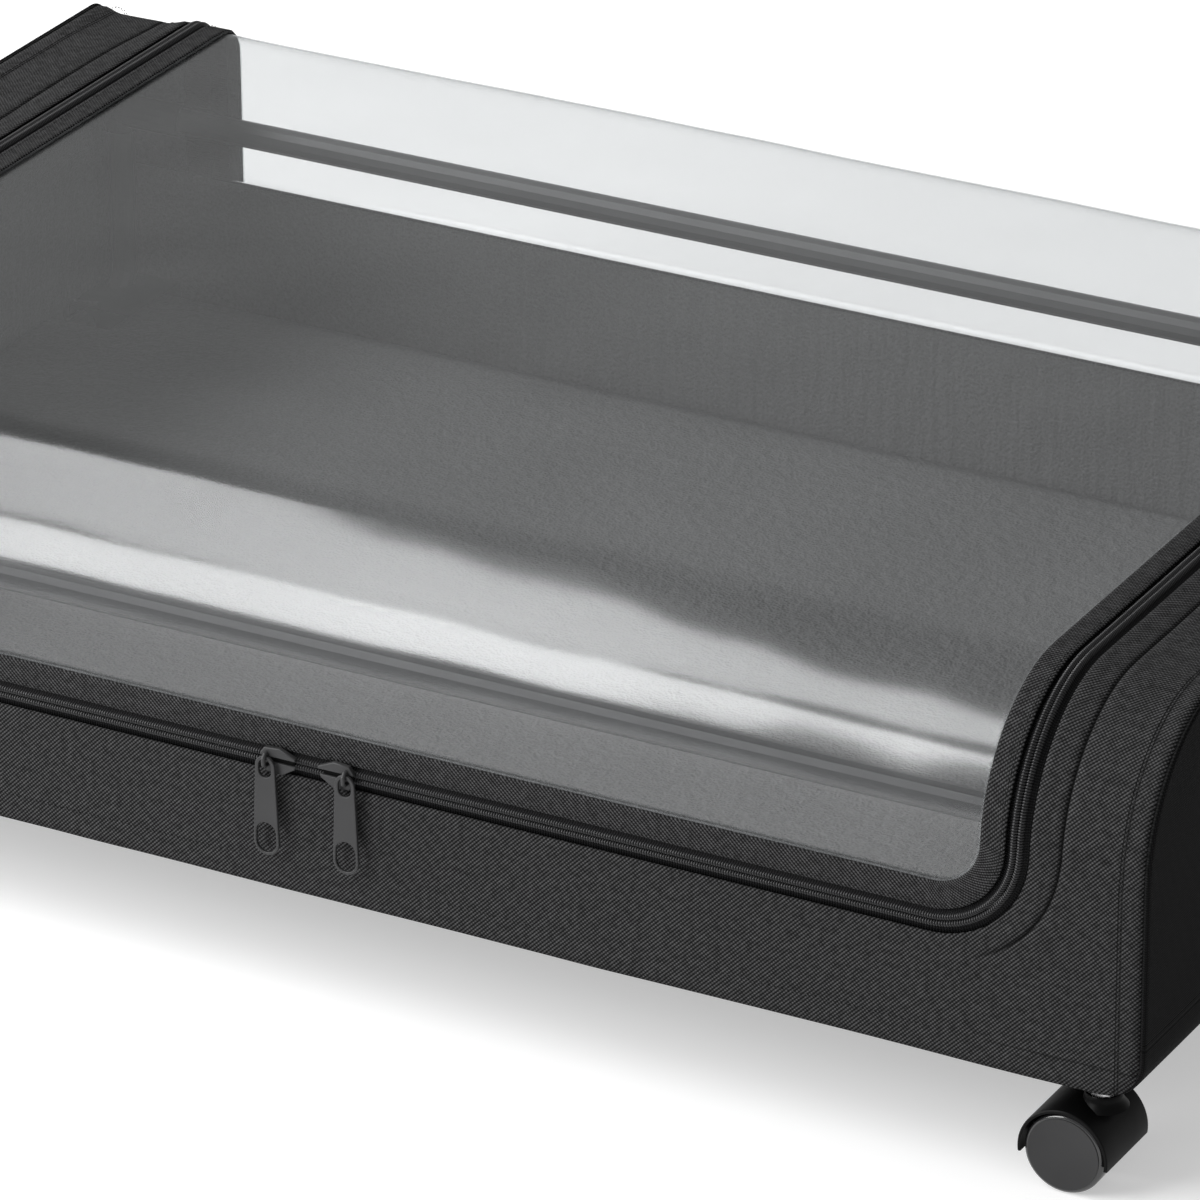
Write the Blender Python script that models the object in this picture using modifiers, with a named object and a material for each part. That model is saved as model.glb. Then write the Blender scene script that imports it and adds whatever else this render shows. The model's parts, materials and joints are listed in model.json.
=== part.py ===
"""A rolling under-bed box: black cloth sides on a steel tube frame, a clear zipped cover and four casters.

Metres, +Z up. X runs along the length, the front faces -Y and the floor is z = 0.
"""

import math

import bmesh
import bpy
from mathutils import Matrix, Vector

# The cloth box, without the casters.
LENGTH = 0.800
DEPTH = 0.504
HEIGHT = 0.163
FRONT_BEND = 0.066
REAR_BEND = 0.016
END_ROUND = 0.018
CLOTH = 0.0015
GAP = 0.0003
FLOOR_TO_CLOTH = 0.051
# The handles of the zipper stand out in front, so the cloth sits this far back of centre.
BACK_OFFSET = 0.00345

# The zipper runs up from the back, over both ends of the top and along the front.
ZIP_X = 0.3408
ZIP_Z = 0.0643
ZIP_CORNER = 0.038
COIL_HALF = 0.0028
BODY_EDGE = 0.0093
LID_EDGE = 0.0045
WINDOW_SIDE = 0.0165
WINDOW_FRONT = 0.0147
BACK_EDGE_Z = 0.0788

# Steel tube frame.
TUBE = 0.0065
TUBE_WALL = 0.0010
SLEEVE = 0.0085
BORE = 0.0068
HOOP_X = 0.386
HOOP_FRONT_Y = -0.2405
HOOP_REAR_Y = 0.239
HOOP_TOP_Z = 0.1505
HOOP_LOW_Z = 0.0115
HOOP_BEND = 0.0535
HOOP_LOW_BEND = 0.020
RAIL_Z = 0.1105
RAIL_FRONT_Y = -0.2390
LOW_RAIL_Y = 0.212
BLOCK_X = 0.360
BLOCK_TOP = 0.020

# Casters: a steel stem, a hood that swivels on it and two wheels on one axle.
STEM_X = 0.373
STEM_Y = 0.232
STEM = 0.0032
TRAIL = 0.009
WHEEL = 0.018
HOOD = 0.0205
HOOD_HALF = 0.0198
WEB_HALF = 0.0050
AXLE = 0.0020

# Zipper sliders and their pull tabs.
PULL_Y = -0.2566
LEFT_PIVOT_X = -0.0095
RIGHT_PIVOT_X = 0.0295
PIVOT_Z = 0.0605

FRONT = -DEPTH / 2
BACK = DEPTH / 2
S_FRONT_BEND = HEIGHT - FRONT_BEND
S_TOP = S_FRONT_BEND + FRONT_BEND * math.pi / 2
S_REAR_BEND = S_TOP + DEPTH - FRONT_BEND - REAR_BEND
S_REAR = S_REAR_BEND + REAR_BEND * math.pi / 2
REAR_WALL = HEIGHT - REAR_BEND

MATERIALS = {
    "black_cloth": ((0.028, 0.028, 0.028), 0.0, 0.85),
    "zipper_tape": ((0.010, 0.010, 0.011), 0.0, 0.70),
    "clear_pvc": ((0.90, 0.92, 0.93), 0.0, 0.08),
    "grey_tube": ((0.070, 0.070, 0.072), 0.6, 0.40),
    "black_plastic": ((0.020, 0.020, 0.021), 0.0, 0.45),
    "slider_metal": ((0.065, 0.065, 0.066), 0.5, 0.45),
    "bright_steel": ((0.60, 0.60, 0.61), 1.0, 0.25),
    "wheel_plastic": ((0.045, 0.045, 0.046), 0.0, 0.50),
    "board": ((0.035, 0.035, 0.036), 0.0, 0.80),
}


def clear_file():
    for o in list(bpy.data.objects):
        bpy.data.objects.remove(o)


def make_materials():
    made = {}
    for name, (colour, metallic, roughness) in MATERIALS.items():
        m = bpy.data.materials.new(name)
        m.use_nodes = True
        b = m.node_tree.nodes["Principled BSDF"]
        b.inputs["Base Color"].default_value = (*colour, 1.0)
        b.inputs["Metallic"].default_value = metallic
        b.inputs["Roughness"].default_value = roughness
        m.diffuse_color = (*colour, 1.0)
        made[name] = m
    made["clear_pvc"].node_tree.nodes["Principled BSDF"].inputs["Alpha"].default_value = 0.35
    return made


def lift(x, y, z):
    """A point given from the middle of the cloth's underside, in the part's own frame."""
    return Vector((x, y + BACK_OFFSET, z + FLOOR_TO_CLOTH))


def add_mesh(name, mesh, slot, origin=None, smooth=True):
    """An object for a mesh; one with no slot is a cutter, or a piece to be joined to another."""
    o = bpy.data.objects.new(name, mesh)
    if slot is None:
        CUTTERS.objects.link(o)
        o.hide_render = True
        o.display_type = "WIRE"
        return o
    PARTS.objects.link(o)
    mesh.materials.append(SLOTS[slot])
    if smooth:
        mesh.shade_smooth()
        mesh.set_sharp_from_angle(angle=math.radians(35))
    if origin is not None:
        mesh.transform(Matrix.Translation(-origin))
        o.location = origin
    return o


def add_object(name, bm, slot, origin=None, smooth=True):
    bmesh.ops.recalc_face_normals(bm, faces=bm.faces)
    mesh = bpy.data.meshes.new(name)
    bm.to_mesh(mesh)
    bm.free()
    return add_mesh(name, mesh, slot, origin, smooth)


def line_curve(name, points, closed=False, flat=False):
    data = bpy.data.curves.new(name, "CURVE")
    data.dimensions = "2D" if flat else "3D"
    line = data.splines.new("POLY")
    line.points.add(len(points) - 1)
    for spot, p in zip(line.points, points):
        spot.co = (*p, 1.0)
    line.use_cyclic_u = closed
    return data


def curve_mesh(name, data, place):
    """A curve's surface as a mesh, with its caps welded on."""
    shape = bpy.data.objects.new(f"{name}_line", data)
    bpy.context.scene.collection.objects.link(shape)
    seen = shape.evaluated_get(bpy.context.evaluated_depsgraph_get())
    mesh = bpy.data.meshes.new_from_object(seen)
    bpy.data.objects.remove(shape)
    bm = bmesh.new()
    bm.from_mesh(mesh)
    bmesh.ops.remove_doubles(bm, verts=bm.verts, dist=0.00001)
    bmesh.ops.recalc_face_normals(bm, faces=bm.faces)
    bmesh.ops.transform(bm, matrix=place, verts=bm.verts)
    bm.to_mesh(mesh)
    bm.free()
    mesh.materials.clear()
    return mesh


def plate(name, outline, thickness, middle, turn, slot=None, origin=None):
    """A flat outline made thick, turned into its plane and moved to its middle."""
    data = line_curve(name, [(a, b, 0.0) for a, b in outline], closed=True, flat=True)
    data.fill_mode = "BOTH"
    data.extrude = thickness / 2
    mesh = curve_mesh(name, data, Matrix.Translation(middle) @ turn)
    return add_mesh(name, mesh, slot, origin, smooth=False)


def boolean(target, operation, other):
    m = target.modifiers.new(f"{operation.lower()}_{other.name}", "BOOLEAN")
    m.operation = operation
    m.solver = "EXACT"
    m.object = other
    return m


def loft(rings, closed_ends=True):
    """Faces between equal rings of points, with a face across each end."""
    bm = bmesh.new()
    made = [[bm.verts.new(p) for p in ring] for ring in rings]
    n = len(made[0])
    for a, b in zip(made, made[1:]):
        for i in range(n):
            j = (i + 1) % n
            bm.faces.new((a[i], a[j], b[j], b[i]))
    if closed_ends:
        bm.faces.new(made[0])
        bm.faces.new(list(reversed(made[-1])))
    return bm


def arc(cx, cz, radius, start, end, steps):
    turns = [math.radians(start + (end - start) * i / steps) for i in range(steps + 1)]
    return [(cx + radius * math.cos(t), cz + radius * math.sin(t)) for t in turns]


def wrap(x, s, outward):
    """A point on the outer cloth: s runs from the front's bottom edge over the top and down the back."""
    if s <= S_FRONT_BEND:
        return lift(x, FRONT - outward, s)
    if s <= S_TOP:
        a = (s - S_FRONT_BEND) / FRONT_BEND
        r = FRONT_BEND + outward
        return lift(x, FRONT + FRONT_BEND - r * math.cos(a), S_FRONT_BEND + r * math.sin(a))
    if s <= S_REAR_BEND:
        return lift(x, FRONT + FRONT_BEND + s - S_TOP, HEIGHT + outward)
    if s <= S_REAR:
        a = (s - S_REAR_BEND) / REAR_BEND
        r = REAR_BEND + outward
        return lift(x, BACK - REAR_BEND + r * math.sin(a), REAR_WALL + r * math.cos(a))
    return lift(x, BACK + outward, REAR_WALL - (s - S_REAR))


def stations(start, end):
    """Where a strip along the wrap needs a ring: its ends and points round both bends."""
    marks = [S_FRONT_BEND + FRONT_BEND * math.pi / 2 * i / 8 for i in range(9)]
    marks += [S_REAR_BEND + REAR_BEND * math.pi / 2 * i / 5 for i in range(6)]
    inside = [m for m in marks if start + 1e-4 < m < end - 1e-4]
    return [start, *inside, end]


def zip_path():
    """The coil's line on the wrap: x, s and the sideways direction towards the box's own cloth."""
    rear = S_REAR + REAR_WALL - BACK_EDGE_Z - GAP
    low = ZIP_Z + ZIP_CORNER
    cx = ZIP_X - ZIP_CORNER
    left = [(-ZIP_X, s, -1.0, 0.0) for s in reversed(stations(low, rear))]
    turn = []
    for i in range(1, 8):
        a = math.pi / 2 * i / 8
        turn.append((-math.cos(a), -math.sin(a)))
    corner = [(-cx + ZIP_CORNER * u, low + ZIP_CORNER * v, u, v) for u, v in turn]
    half = [*left, *corner, (-cx, ZIP_Z, 0.0, -1.0)]
    return half + [(-x, s, -u, v) for x, s, u, v in reversed(half)]


def strip(section):
    """A cross-section of (sideways, outward) pairs swept along the zipper's line."""
    rings = []
    for x, s, u, v in zip_path():
        across = section(abs(u))
        rings.append([wrap(x + d * u, s + d * v, o) for d, o in across])
    return loft(rings)


def panel_corner():
    """The bottom corner of a long side, inside the rounded foot of the end panel."""
    cx = LENGTH / 2 - END_ROUND
    return [(cx - GAP, 0.0), *arc(cx - GAP, END_ROUND, END_ROUND - CLOTH - GAP, -90, 0, 6)]


def build_front_panel():
    edge = LENGTH / 2 - CLOTH - GAP
    cx = ZIP_X - ZIP_CORNER
    low = ZIP_Z + ZIP_CORNER
    r = ZIP_CORNER + BODY_EDGE
    top = S_FRONT_BEND - GAP
    corner = panel_corner()
    start = math.degrees(math.asin((top - low) / r))
    inner = arc(cx, low, r, start, -90, 8)
    right = [*corner, (edge, top), *inner]
    outline = right + [(-x, z) for x, z in reversed(right)]
    plate("front_panel", outline, CLOTH, lift(0, FRONT + CLOTH / 2, 0), UPRIGHT, "black_cloth")


def build_back_panel():
    edge = LENGTH / 2 - CLOTH - GAP
    ear = ZIP_X + BODY_EDGE
    top = REAR_WALL - GAP
    right = [*panel_corner(), (edge, top), (ear, top), (ear, BACK_EDGE_Z - GAP)]
    outline = right + [(-x, z) for x, z in reversed(right)]
    plate("back_panel", outline, CLOTH, lift(0, BACK - CLOTH / 2, 0), UPRIGHT, "black_cloth")


def build_gusset(name, side):
    """The strip of cloth over the top beside the zipper, bent down at the front and back."""
    inner = ZIP_X + BODY_EDGE
    outer = LENGTH / 2 - CLOTH - GAP
    spots = [wrap(0, s, 0) for s in stations(S_FRONT_BEND, S_REAR)]
    data = line_curve(name, [(p.y, p.z, 0.0) for p in spots], flat=True)
    data.extrude = (outer - inner) / 2
    middle = Vector((side * (outer + inner) / 2, 0, 0))
    mesh = curve_mesh(name, data, Matrix.Translation(middle) @ ENDWISE)
    thicken(add_mesh(name, mesh, "black_cloth", smooth=False), CLOTH)


def end_outline():
    """Height, front edge and rear edge of an end, from where its bottom rounding stops to the top."""
    heights = {END_ROUND, S_FRONT_BEND}
    heights.update(S_FRONT_BEND + FRONT_BEND * math.sin(math.pi / 2 * i / 8) for i in range(1, 9))
    heights.update(REAR_WALL + REAR_BEND * math.sin(math.pi / 2 * i / 4) for i in range(4))
    rows = []
    for z in sorted(heights):
        rise = max(0.0, z - S_FRONT_BEND)
        drop = max(0.0, z - REAR_WALL)
        front = FRONT + FRONT_BEND - math.sqrt(max(0.0, FRONT_BEND**2 - rise**2))
        rear = BACK - REAR_BEND + math.sqrt(max(0.0, REAR_BEND**2 - drop**2))
        rows.append((z, front, rear))
    return rows


def build_end_panel(name, side):
    cx = LENGTH / 2 - END_ROUND
    rings = []
    for i in range(6):
        a = math.radians(-90 + 15 * i)
        outer = (cx + END_ROUND * math.cos(a), END_ROUND + END_ROUND * math.sin(a))
        r = END_ROUND - CLOTH
        inner = (cx + r * math.cos(a), END_ROUND + r * math.sin(a))
        rings.append([(outer, FRONT), (outer, BACK), (inner, BACK), (inner, FRONT)])
    for z, front, rear in end_outline():
        outer = (LENGTH / 2, z)
        inner = (LENGTH / 2 - CLOTH, z)
        rings.append([(outer, front), (outer, rear), (inner, rear), (inner, front)])
    points = [[lift(side * x, y, z) for (x, z), y in ring] for ring in rings]
    add_object(name, loft(points), "black_cloth", smooth=False)


def cylinder(name, radius, start, end, sides, slot=None, origin=None):
    bm = bmesh.new()
    along = end - start
    turn = along.to_track_quat("Z", "Y").to_matrix().to_4x4()
    place = Matrix.Translation((start + end) / 2) @ turn
    bmesh.ops.create_cone(
        bm, cap_ends=True, segments=sides, radius1=radius, radius2=radius, depth=along.length, matrix=place
    )
    return add_object(name, bm, slot, origin)


def build_bottom_panel():
    x = LENGTH / 2 - END_ROUND - GAP
    y = DEPTH / 2 - CLOTH - GAP
    bm = bmesh.new()
    size = Matrix.Diagonal((2 * x, 2 * y, CLOTH, 1.0))
    bmesh.ops.create_cube(bm, size=1.0, matrix=Matrix.Translation(lift(0, 0, CLOTH / 2)) @ size)
    panel = add_object("bottom_panel", bm, "black_cloth", smooth=False)
    for name, sx, sy in CORNERS:
        low = lift(sx * STEM_X, sy * STEM_Y, -0.01)
        high = lift(sx * STEM_X, sy * STEM_Y, 0.01)
        boolean(panel, "DIFFERENCE", cylinder(f"{name}_stem_hole", 0.0045, low, high, 16))


def build_base_board():
    thick = 0.0025
    z = HOOP_LOW_Z + TUBE + GAP
    far, near = 0.393, BLOCK_X - 0.0005
    deep, shallow = 0.232, 0.1995
    quarter = [(far, shallow), (near, shallow), (near, deep)]
    outline = quarter + [(-x, y) for x, y in reversed(quarter)]
    outline += [(-x, -y) for x, y in outline]
    plate("base_board", outline, thick, lift(0, 0, z + thick / 2), LEVEL, "board")


def thicken(o, thickness):
    """Gives an open surface its thickness, on its inner side."""
    m = o.modifiers.new("wall", "SOLIDIFY")
    m.thickness = thickness
    m.offset = -1.0
    m.use_even_offset = True


def tube(name, path, slot):
    """A hollow tube with open ends."""
    data = line_curve(name, path)
    data.fill_mode = "FULL"
    data.bevel_depth = TUBE
    data.bevel_resolution = 4
    thicken(add_mesh(name, curve_mesh(name, data, LEVEL), slot), TUBE_WALL)


def hoop_arc(cy, cz, radius, start, end, steps):
    return [(y, z) for y, z in arc(cy, cz, radius, start, end, steps)]


def hoop_line():
    """The hoop's centre line in y and z, from the back of the top round the front to the rear post."""
    bend_y = HOOP_FRONT_Y + HOOP_BEND
    bend_z = HOOP_TOP_Z - HOOP_BEND
    low = HOOP_LOW_BEND
    line = [(0.2312, HOOP_TOP_Z)]
    line += hoop_arc(bend_y, bend_z, HOOP_BEND, 90, 180, 9)
    line += hoop_arc(HOOP_FRONT_Y + low, HOOP_LOW_Z + low, low, 180, 270, 5)
    line += hoop_arc(HOOP_REAR_Y - low, HOOP_LOW_Z + low, low, 270, 360, 5)
    line.append((HOOP_REAR_Y, 0.1427))
    return line


def build_hoop(name, side):
    path = [lift(side * HOOP_X, y, z) for y, z in hoop_line()]
    tube(name, path, "grey_tube")


def solid_sweep(name, path, radius, resolution, slot=None):
    """A solid round bar along a line, with flat ends."""
    data = line_curve(name, path)
    data.fill_mode = "FULL"
    data.bevel_depth = radius
    data.bevel_resolution = resolution
    data.use_fill_caps = True
    return add_mesh(name, curve_mesh(name, data, LEVEL), slot)


def build_rear_elbow(name, side):
    x = side * HOOP_X
    corner = lift(x, HOOP_REAR_Y, HOOP_TOP_Z)
    elbow = cylinder(name, SLEEVE, lift(x, 0.212, HOOP_TOP_Z), corner, 16, "black_plastic")
    down = cylinder(f"{name}_down", SLEEVE, lift(x, HOOP_REAR_Y, 0.124), corner, 16)
    bm = bmesh.new()
    bmesh.ops.create_uvsphere(bm, u_segments=16, v_segments=8, radius=SLEEVE, matrix=Matrix.Translation(corner))
    ball = add_object(f"{name}_ball", bm, None)
    boolean(elbow, "UNION", down)
    boolean(elbow, "UNION", ball)
    level = cylinder(f"{name}_bore_a", BORE, lift(x, 0.205, HOOP_TOP_Z), lift(x, 0.2315, HOOP_TOP_Z), 12)
    upright = cylinder(f"{name}_bore_b", BORE, lift(x, HOOP_REAR_Y, 0.118), lift(x, HOOP_REAR_Y, 0.143), 12)
    boolean(elbow, "DIFFERENCE", level)
    boolean(elbow, "DIFFERENCE", upright)


def front_sleeve_line(start, end, steps):
    bend_y = HOOP_FRONT_Y + HOOP_BEND
    bend_z = HOOP_TOP_Z - HOOP_BEND
    return hoop_arc(bend_y, bend_z, HOOP_BEND, 180 - start, 180 - end, steps)


def build_bracket(name, side, at_front):
    """A sleeve round the hoop with a socket for the end of a rail."""
    x = side * HOOP_X
    if at_front:
        y = RAIL_FRONT_Y
        sleeve = front_sleeve_line(4, 24, 3)
        bore = front_sleeve_line(-2, 32, 5)
    else:
        y = HOOP_REAR_Y
        sleeve = [(y, 0.1005), (y, 0.1205)]
        bore = [(y, 0.095), (y, 0.126)]
    bracket = solid_sweep(name, [lift(x, a, b) for a, b in sleeve], SLEEVE, 6, "black_plastic")
    inboard = lift(side * 0.350, y, RAIL_Z)
    socket = cylinder(f"{name}_socket", SLEEVE, lift(x, y, RAIL_Z), inboard, 16)
    boolean(bracket, "UNION", socket)
    hole = solid_sweep(f"{name}_bore", [lift(x, a, b) for a, b in bore], BORE, 4)
    boolean(bracket, "DIFFERENCE", hole)
    rail_end = lift(side * 0.3785, y, RAIL_Z)
    rail_hole = cylinder(f"{name}_rail", BORE, rail_end, lift(side * 0.345, y, RAIL_Z), 12)
    boolean(bracket, "DIFFERENCE", rail_hole)


def build_rails():
    top = 0.3782
    low = 0.3737
    for name, reach, y, z in (
        ("front_top_rail", top, RAIL_FRONT_Y, RAIL_Z),
        ("rear_top_rail", top, HOOP_REAR_Y, RAIL_Z),
        ("front_bottom_rail", low, -LOW_RAIL_Y, HOOP_LOW_Z),
        ("rear_bottom_rail", low, LOW_RAIL_Y, HOOP_LOW_Z),
    ):
        tube(name, [lift(-reach, y, z), lift(reach, y, z)], "grey_tube")
    y = LOW_RAIL_Y - TUBE - GAP
    tube("bottom_cross_bar", [lift(0, -y, HOOP_LOW_Z), lift(0, y, HOOP_LOW_Z)], "grey_tube")


def build_corner_block(name, sx, sy):
    """The plastic foot that grips the hoop, holds a bottom rail and takes the caster's stem."""
    cx = LENGTH / 2 - END_ROUND
    section = [(BLOCK_X, 0.0018), *arc(cx, END_ROUND, 0.0161, -90, -40, 4), (0.3945, BLOCK_TOP), (BLOCK_X, BLOCK_TOP)]
    outline = [(sx * x, z) for x, z in section]
    block = plate(f"{name}_corner_block", outline, 0.048, lift(0, sy * 0.224, 0), UPRIGHT, "black_plastic")
    hoop = [lift(sx * HOOP_X, y, z) for y, z in hoop_line()[8:]]
    grip = solid_sweep(f"{name}_hoop_bore", hoop, BORE, 4)
    boolean(block, "DIFFERENCE", grip)
    y = sy * LOW_RAIL_Y
    rail = cylinder(f"{name}_rail_bore", BORE, lift(sx * 0.350, y, HOOP_LOW_Z), lift(sx * 0.374, y, HOOP_LOW_Z), 12)
    boolean(block, "DIFFERENCE", rail)
    low = lift(sx * STEM_X, sy * STEM_Y, -0.005)
    high = lift(sx * STEM_X, sy * STEM_Y, 0.0180)
    boolean(block, "DIFFERENCE", cylinder(f"{name}_stem_bore", STEM + GAP, low, high, 16))


def lathe(name, profile, axis_at, along, steps, slot):
    """A profile of (radius, distance along the axis) turned about a level axis."""
    mesh = bpy.data.meshes.new(name)
    verts = [(r, 0.0, h) for r, h in profile]
    edges = [(i, i + 1) for i in range(len(verts) - 1)]
    mesh.from_pydata(verts, edges, [])
    mesh.materials.append(SLOTS[slot])
    o = bpy.data.objects.new(name, mesh)
    PARTS.objects.link(o)
    screw = o.modifiers.new("turned", "SCREW")
    screw.axis = "Z"
    screw.angle = 2 * math.pi
    screw.steps = steps
    screw.render_steps = steps
    screw.use_merge_vertices = True
    screw.merge_threshold = 0.00001
    screw.use_smooth_shade = True
    screw.use_normal_calculate = True
    o.location = axis_at
    o.rotation_euler = along.to_track_quat("Z", "Y").to_euler()
    return o


def build_wheel(name, centre, outward):
    """A wheel whose outer face is a flat cover inside a rim, bored from its inner face for the axle."""
    near, far = 0.0055, 0.0192
    profile = [
        (0.0, far - 0.0006),
        (WHEEL - 0.0020, far - 0.0006),
        (WHEEL - 0.0014, far),
        (WHEEL, far - 0.0012),
        (WHEEL, near + 0.0012),
        (WHEEL - 0.0012, near),
        (AXLE + GAP, near),
        (AXLE + GAP, near + 0.0090),
        (0.0, near + 0.0090),
    ]
    lathe(name, profile, centre, Vector((0, outward, 0)), 24, "wheel_plastic")


def build_hood(name, centre, stem, sx):
    """The barrel over both wheels, a web between them and a boss for the stem."""
    shell = arc(0, 0, HOOD, -8, 188, 20)
    hood = plate(name, shell, 2 * HOOD_HALF, centre, UPRIGHT, "black_plastic", stem)
    ends = (Vector((0, WEB_HALF, 0)), Vector((0, HOOD_HALF + 0.005, 0)))
    for word, way in (("a", 1), ("b", -1)):
        hollow = cylinder(f"{name}_hollow_{word}", 0.0190, centre + way * ends[0], centre + way * ends[1], 28)
        boolean(hood, "DIFFERENCE", hollow)
    boss = cylinder(f"{name}_hub", 0.0058, centre - ends[0], centre + ends[0], 16)
    boolean(hood, "UNION", boss)
    foot = Vector((stem.x, stem.y, centre.z + 0.0125))
    head = Vector((stem.x, stem.y, centre.z + 0.0213))
    socket = cylinder(f"{name}_socket", 0.0075, foot, head, 16)
    trim = cylinder(f"{name}_trim", 0.0187, centre - ends[1], centre + ends[1], 28)
    boolean(socket, "DIFFERENCE", trim)
    boolean(hood, "UNION", socket)
    bottom = Vector((stem.x, stem.y, centre.z + 0.0040))
    top = Vector((stem.x, stem.y, centre.z + 0.030))
    boolean(hood, "DIFFERENCE", cylinder(f"{name}_stem_bore", STEM + GAP, bottom, top, 16))
    reach = Vector((0, 0.010, 0))
    boolean(hood, "DIFFERENCE", cylinder(f"{name}_axle_bore", AXLE + GAP, centre - reach, centre + reach, 12))


def build_caster(name, sx, sy):
    stem = lift(sx * STEM_X, sy * STEM_Y, 0.0)
    centre = Vector((stem.x - sx * TRAIL, stem.y, WHEEL))
    foot = Vector((stem.x, stem.y, centre.z + 0.0043))
    top = lift(sx * STEM_X, sy * STEM_Y, 0.0177)
    pin = cylinder(f"{name}_caster_stem", STEM, foot, top, 16, "bright_steel")
    low = Vector((stem.x, stem.y, centre.z + 0.0216))
    high = Vector((stem.x, stem.y, centre.z + 0.0248))
    boolean(pin, "UNION", cylinder(f"{name}_collar", 0.0066, low, high, 16))
    build_hood(f"{name}_caster_hood", centre, stem, sx)
    half = Vector((0, 0.0140, 0))
    cylinder(f"{name}_caster_axle", AXLE, centre - half, centre + half, 12, "bright_steel", origin=centre)
    build_wheel(f"{name}_outer_wheel", centre, sy)
    build_wheel(f"{name}_inner_wheel", centre, -sy)


def build_zipper():
    back, face, front = -0.0023, -0.0019, 0.0006

    def body_half(_):
        return [
            (GAP / 2, back), (0.0150, back), (0.0150, face), (COIL_HALF + 0.0002, face),
            (COIL_HALF, -0.0004), (0.0018, front), (GAP / 2, front),
        ]

    def lid_half(_):
        return [(-d, o) for d, o in (
            (GAP / 2, back), (0.0097, back), (0.0097, face), (COIL_HALF + 0.0002, face),
            (COIL_HALF, -0.0004), (0.0018, front), (GAP / 2, front),
        )]

    add_object("body_zipper_half", strip(body_half), "zipper_tape", smooth=False)
    add_object("cover_zipper_half", strip(lid_half), "zipper_tape", origin=hinge_point(), smooth=False)


def hinge_point():
    return lift(0.0, BACK + 0.001, BACK_EDGE_Z)


def build_cover():
    def border(side):
        inner = WINDOW_FRONT + (WINDOW_SIDE - WINDOW_FRONT) * side
        return [(-LID_EDGE, 0.0), (-LID_EDGE, -CLOTH), (-inner, -CLOTH), (-inner, 0.0)]

    add_object("cover_border", strip(border), "black_cloth", origin=hinge_point(), smooth=False)
    inset = 0.0100
    half = ZIP_X - inset
    r = ZIP_CORNER - inset
    low = ZIP_Z + ZIP_CORNER
    rear = S_REAR + REAR_WALL - BACK_EDGE_Z - GAP
    rows = [(low - r * math.cos(math.pi / 2 * i / 6), half - r + r * math.sin(math.pi / 2 * i / 6)) for i in range(6)]
    rows += [(s, half) for s in stations(low, rear)]
    rings = []
    for s, w in rows:
        rings.append([wrap(-w, s, -0.0018), wrap(w, s, -0.0018), wrap(w, s, -0.0023), wrap(-w, s, -0.0023)])
    add_object("clear_window", loft(rings), "clear_pvc", origin=hinge_point(), smooth=False)


def build_slider(name, pivot_x, way):
    """A shield-shaped plate over the coil with a strap standing off it for the pull tab."""
    shield = (
        (-0.0032, 0.0030), (-0.0010, 0.0062), (0.0068, 0.0066), (0.0138, 0.0036),
        (0.0138, -0.0002), (0.0068, -0.0062), (-0.0010, -0.0056), (-0.0032, -0.0022),
    )
    z0 = 0.0612
    outline = [(way * x, z) for x, z in shield]
    origin = lift(pivot_x, PULL_Y, PIVOT_Z)
    body = plate(name, outline, 0.0020, lift(pivot_x, -0.2540, z0), UPRIGHT, "slider_metal", origin)
    a, b = -0.0010, 0.0118
    y0, y1, y2 = -0.2545, -0.2582, -0.2595
    side = ((a, y0), (a, y2 + 0.0006), (a + 0.0006, y2), (b - 0.0010, y2), (b, y2 + 0.0014), (b, y0))
    side += ((b - 0.0016, y0), (b - 0.0016, y1), (a + 0.0020, y1), (a + 0.0020, y0))
    outline = [(way * x, y) for x, y in side]
    boolean(body, "UNION", plate(f"{name}_strap", outline, 0.0020, lift(pivot_x, 0, PIVOT_Z), LEVEL))


def oval(half_width, top, bottom, steps):
    """A tall oval about x = 0, from a bottom height to a top height."""
    right = arc(0, top - half_width, half_width, 0, 180, steps)
    return right + arc(0, bottom + half_width, half_width, 180, 360, steps)


def build_pull_tab(name, pivot_x):
    pivot = lift(pivot_x, PULL_Y, PIVOT_Z)
    body = arc(0, -0.0018, 0.0052, 0, 180, 8) + arc(0, -0.0376, 0.0058, 180, 360, 8)
    tab = plate(name, body, 0.0016, pivot, UPRIGHT, "slider_metal", pivot)
    eye = oval(0.0034, 0.0016, -0.0072, 6)
    slot = oval(0.0042, -0.0290, -0.0416, 6)
    boolean(tab, "DIFFERENCE", plate(f"{name}_eye", eye, 0.006, pivot, UPRIGHT))
    boolean(tab, "DIFFERENCE", plate(f"{name}_slot", slot, 0.006, pivot, UPRIGHT))


def build_all():
    build_front_panel()
    build_back_panel()
    for word, side in (("left", -1), ("right", 1)):
        build_gusset(f"{word}_gusset", side)
        build_end_panel(f"{word}_end_panel", side)
        build_hoop(f"{word}_hoop", side)
        build_rear_elbow(f"{word}_rear_elbow", side)
        build_bracket(f"front_{word}_rail_bracket", side, True)
        build_bracket(f"rear_{word}_rail_bracket", side, False)
    build_bottom_panel()
    build_base_board()
    build_rails()
    for name, sx, sy in CORNERS:
        build_corner_block(name, sx, sy)
        build_caster(name, sx, sy)
    build_zipper()
    build_cover()
    for word, x, way in (("left", LEFT_PIVOT_X, 1), ("right", RIGHT_PIVOT_X, -1)):
        build_slider(f"{word}_slider", x, way)
        build_pull_tab(f"{word}_pull_tab", x)


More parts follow.
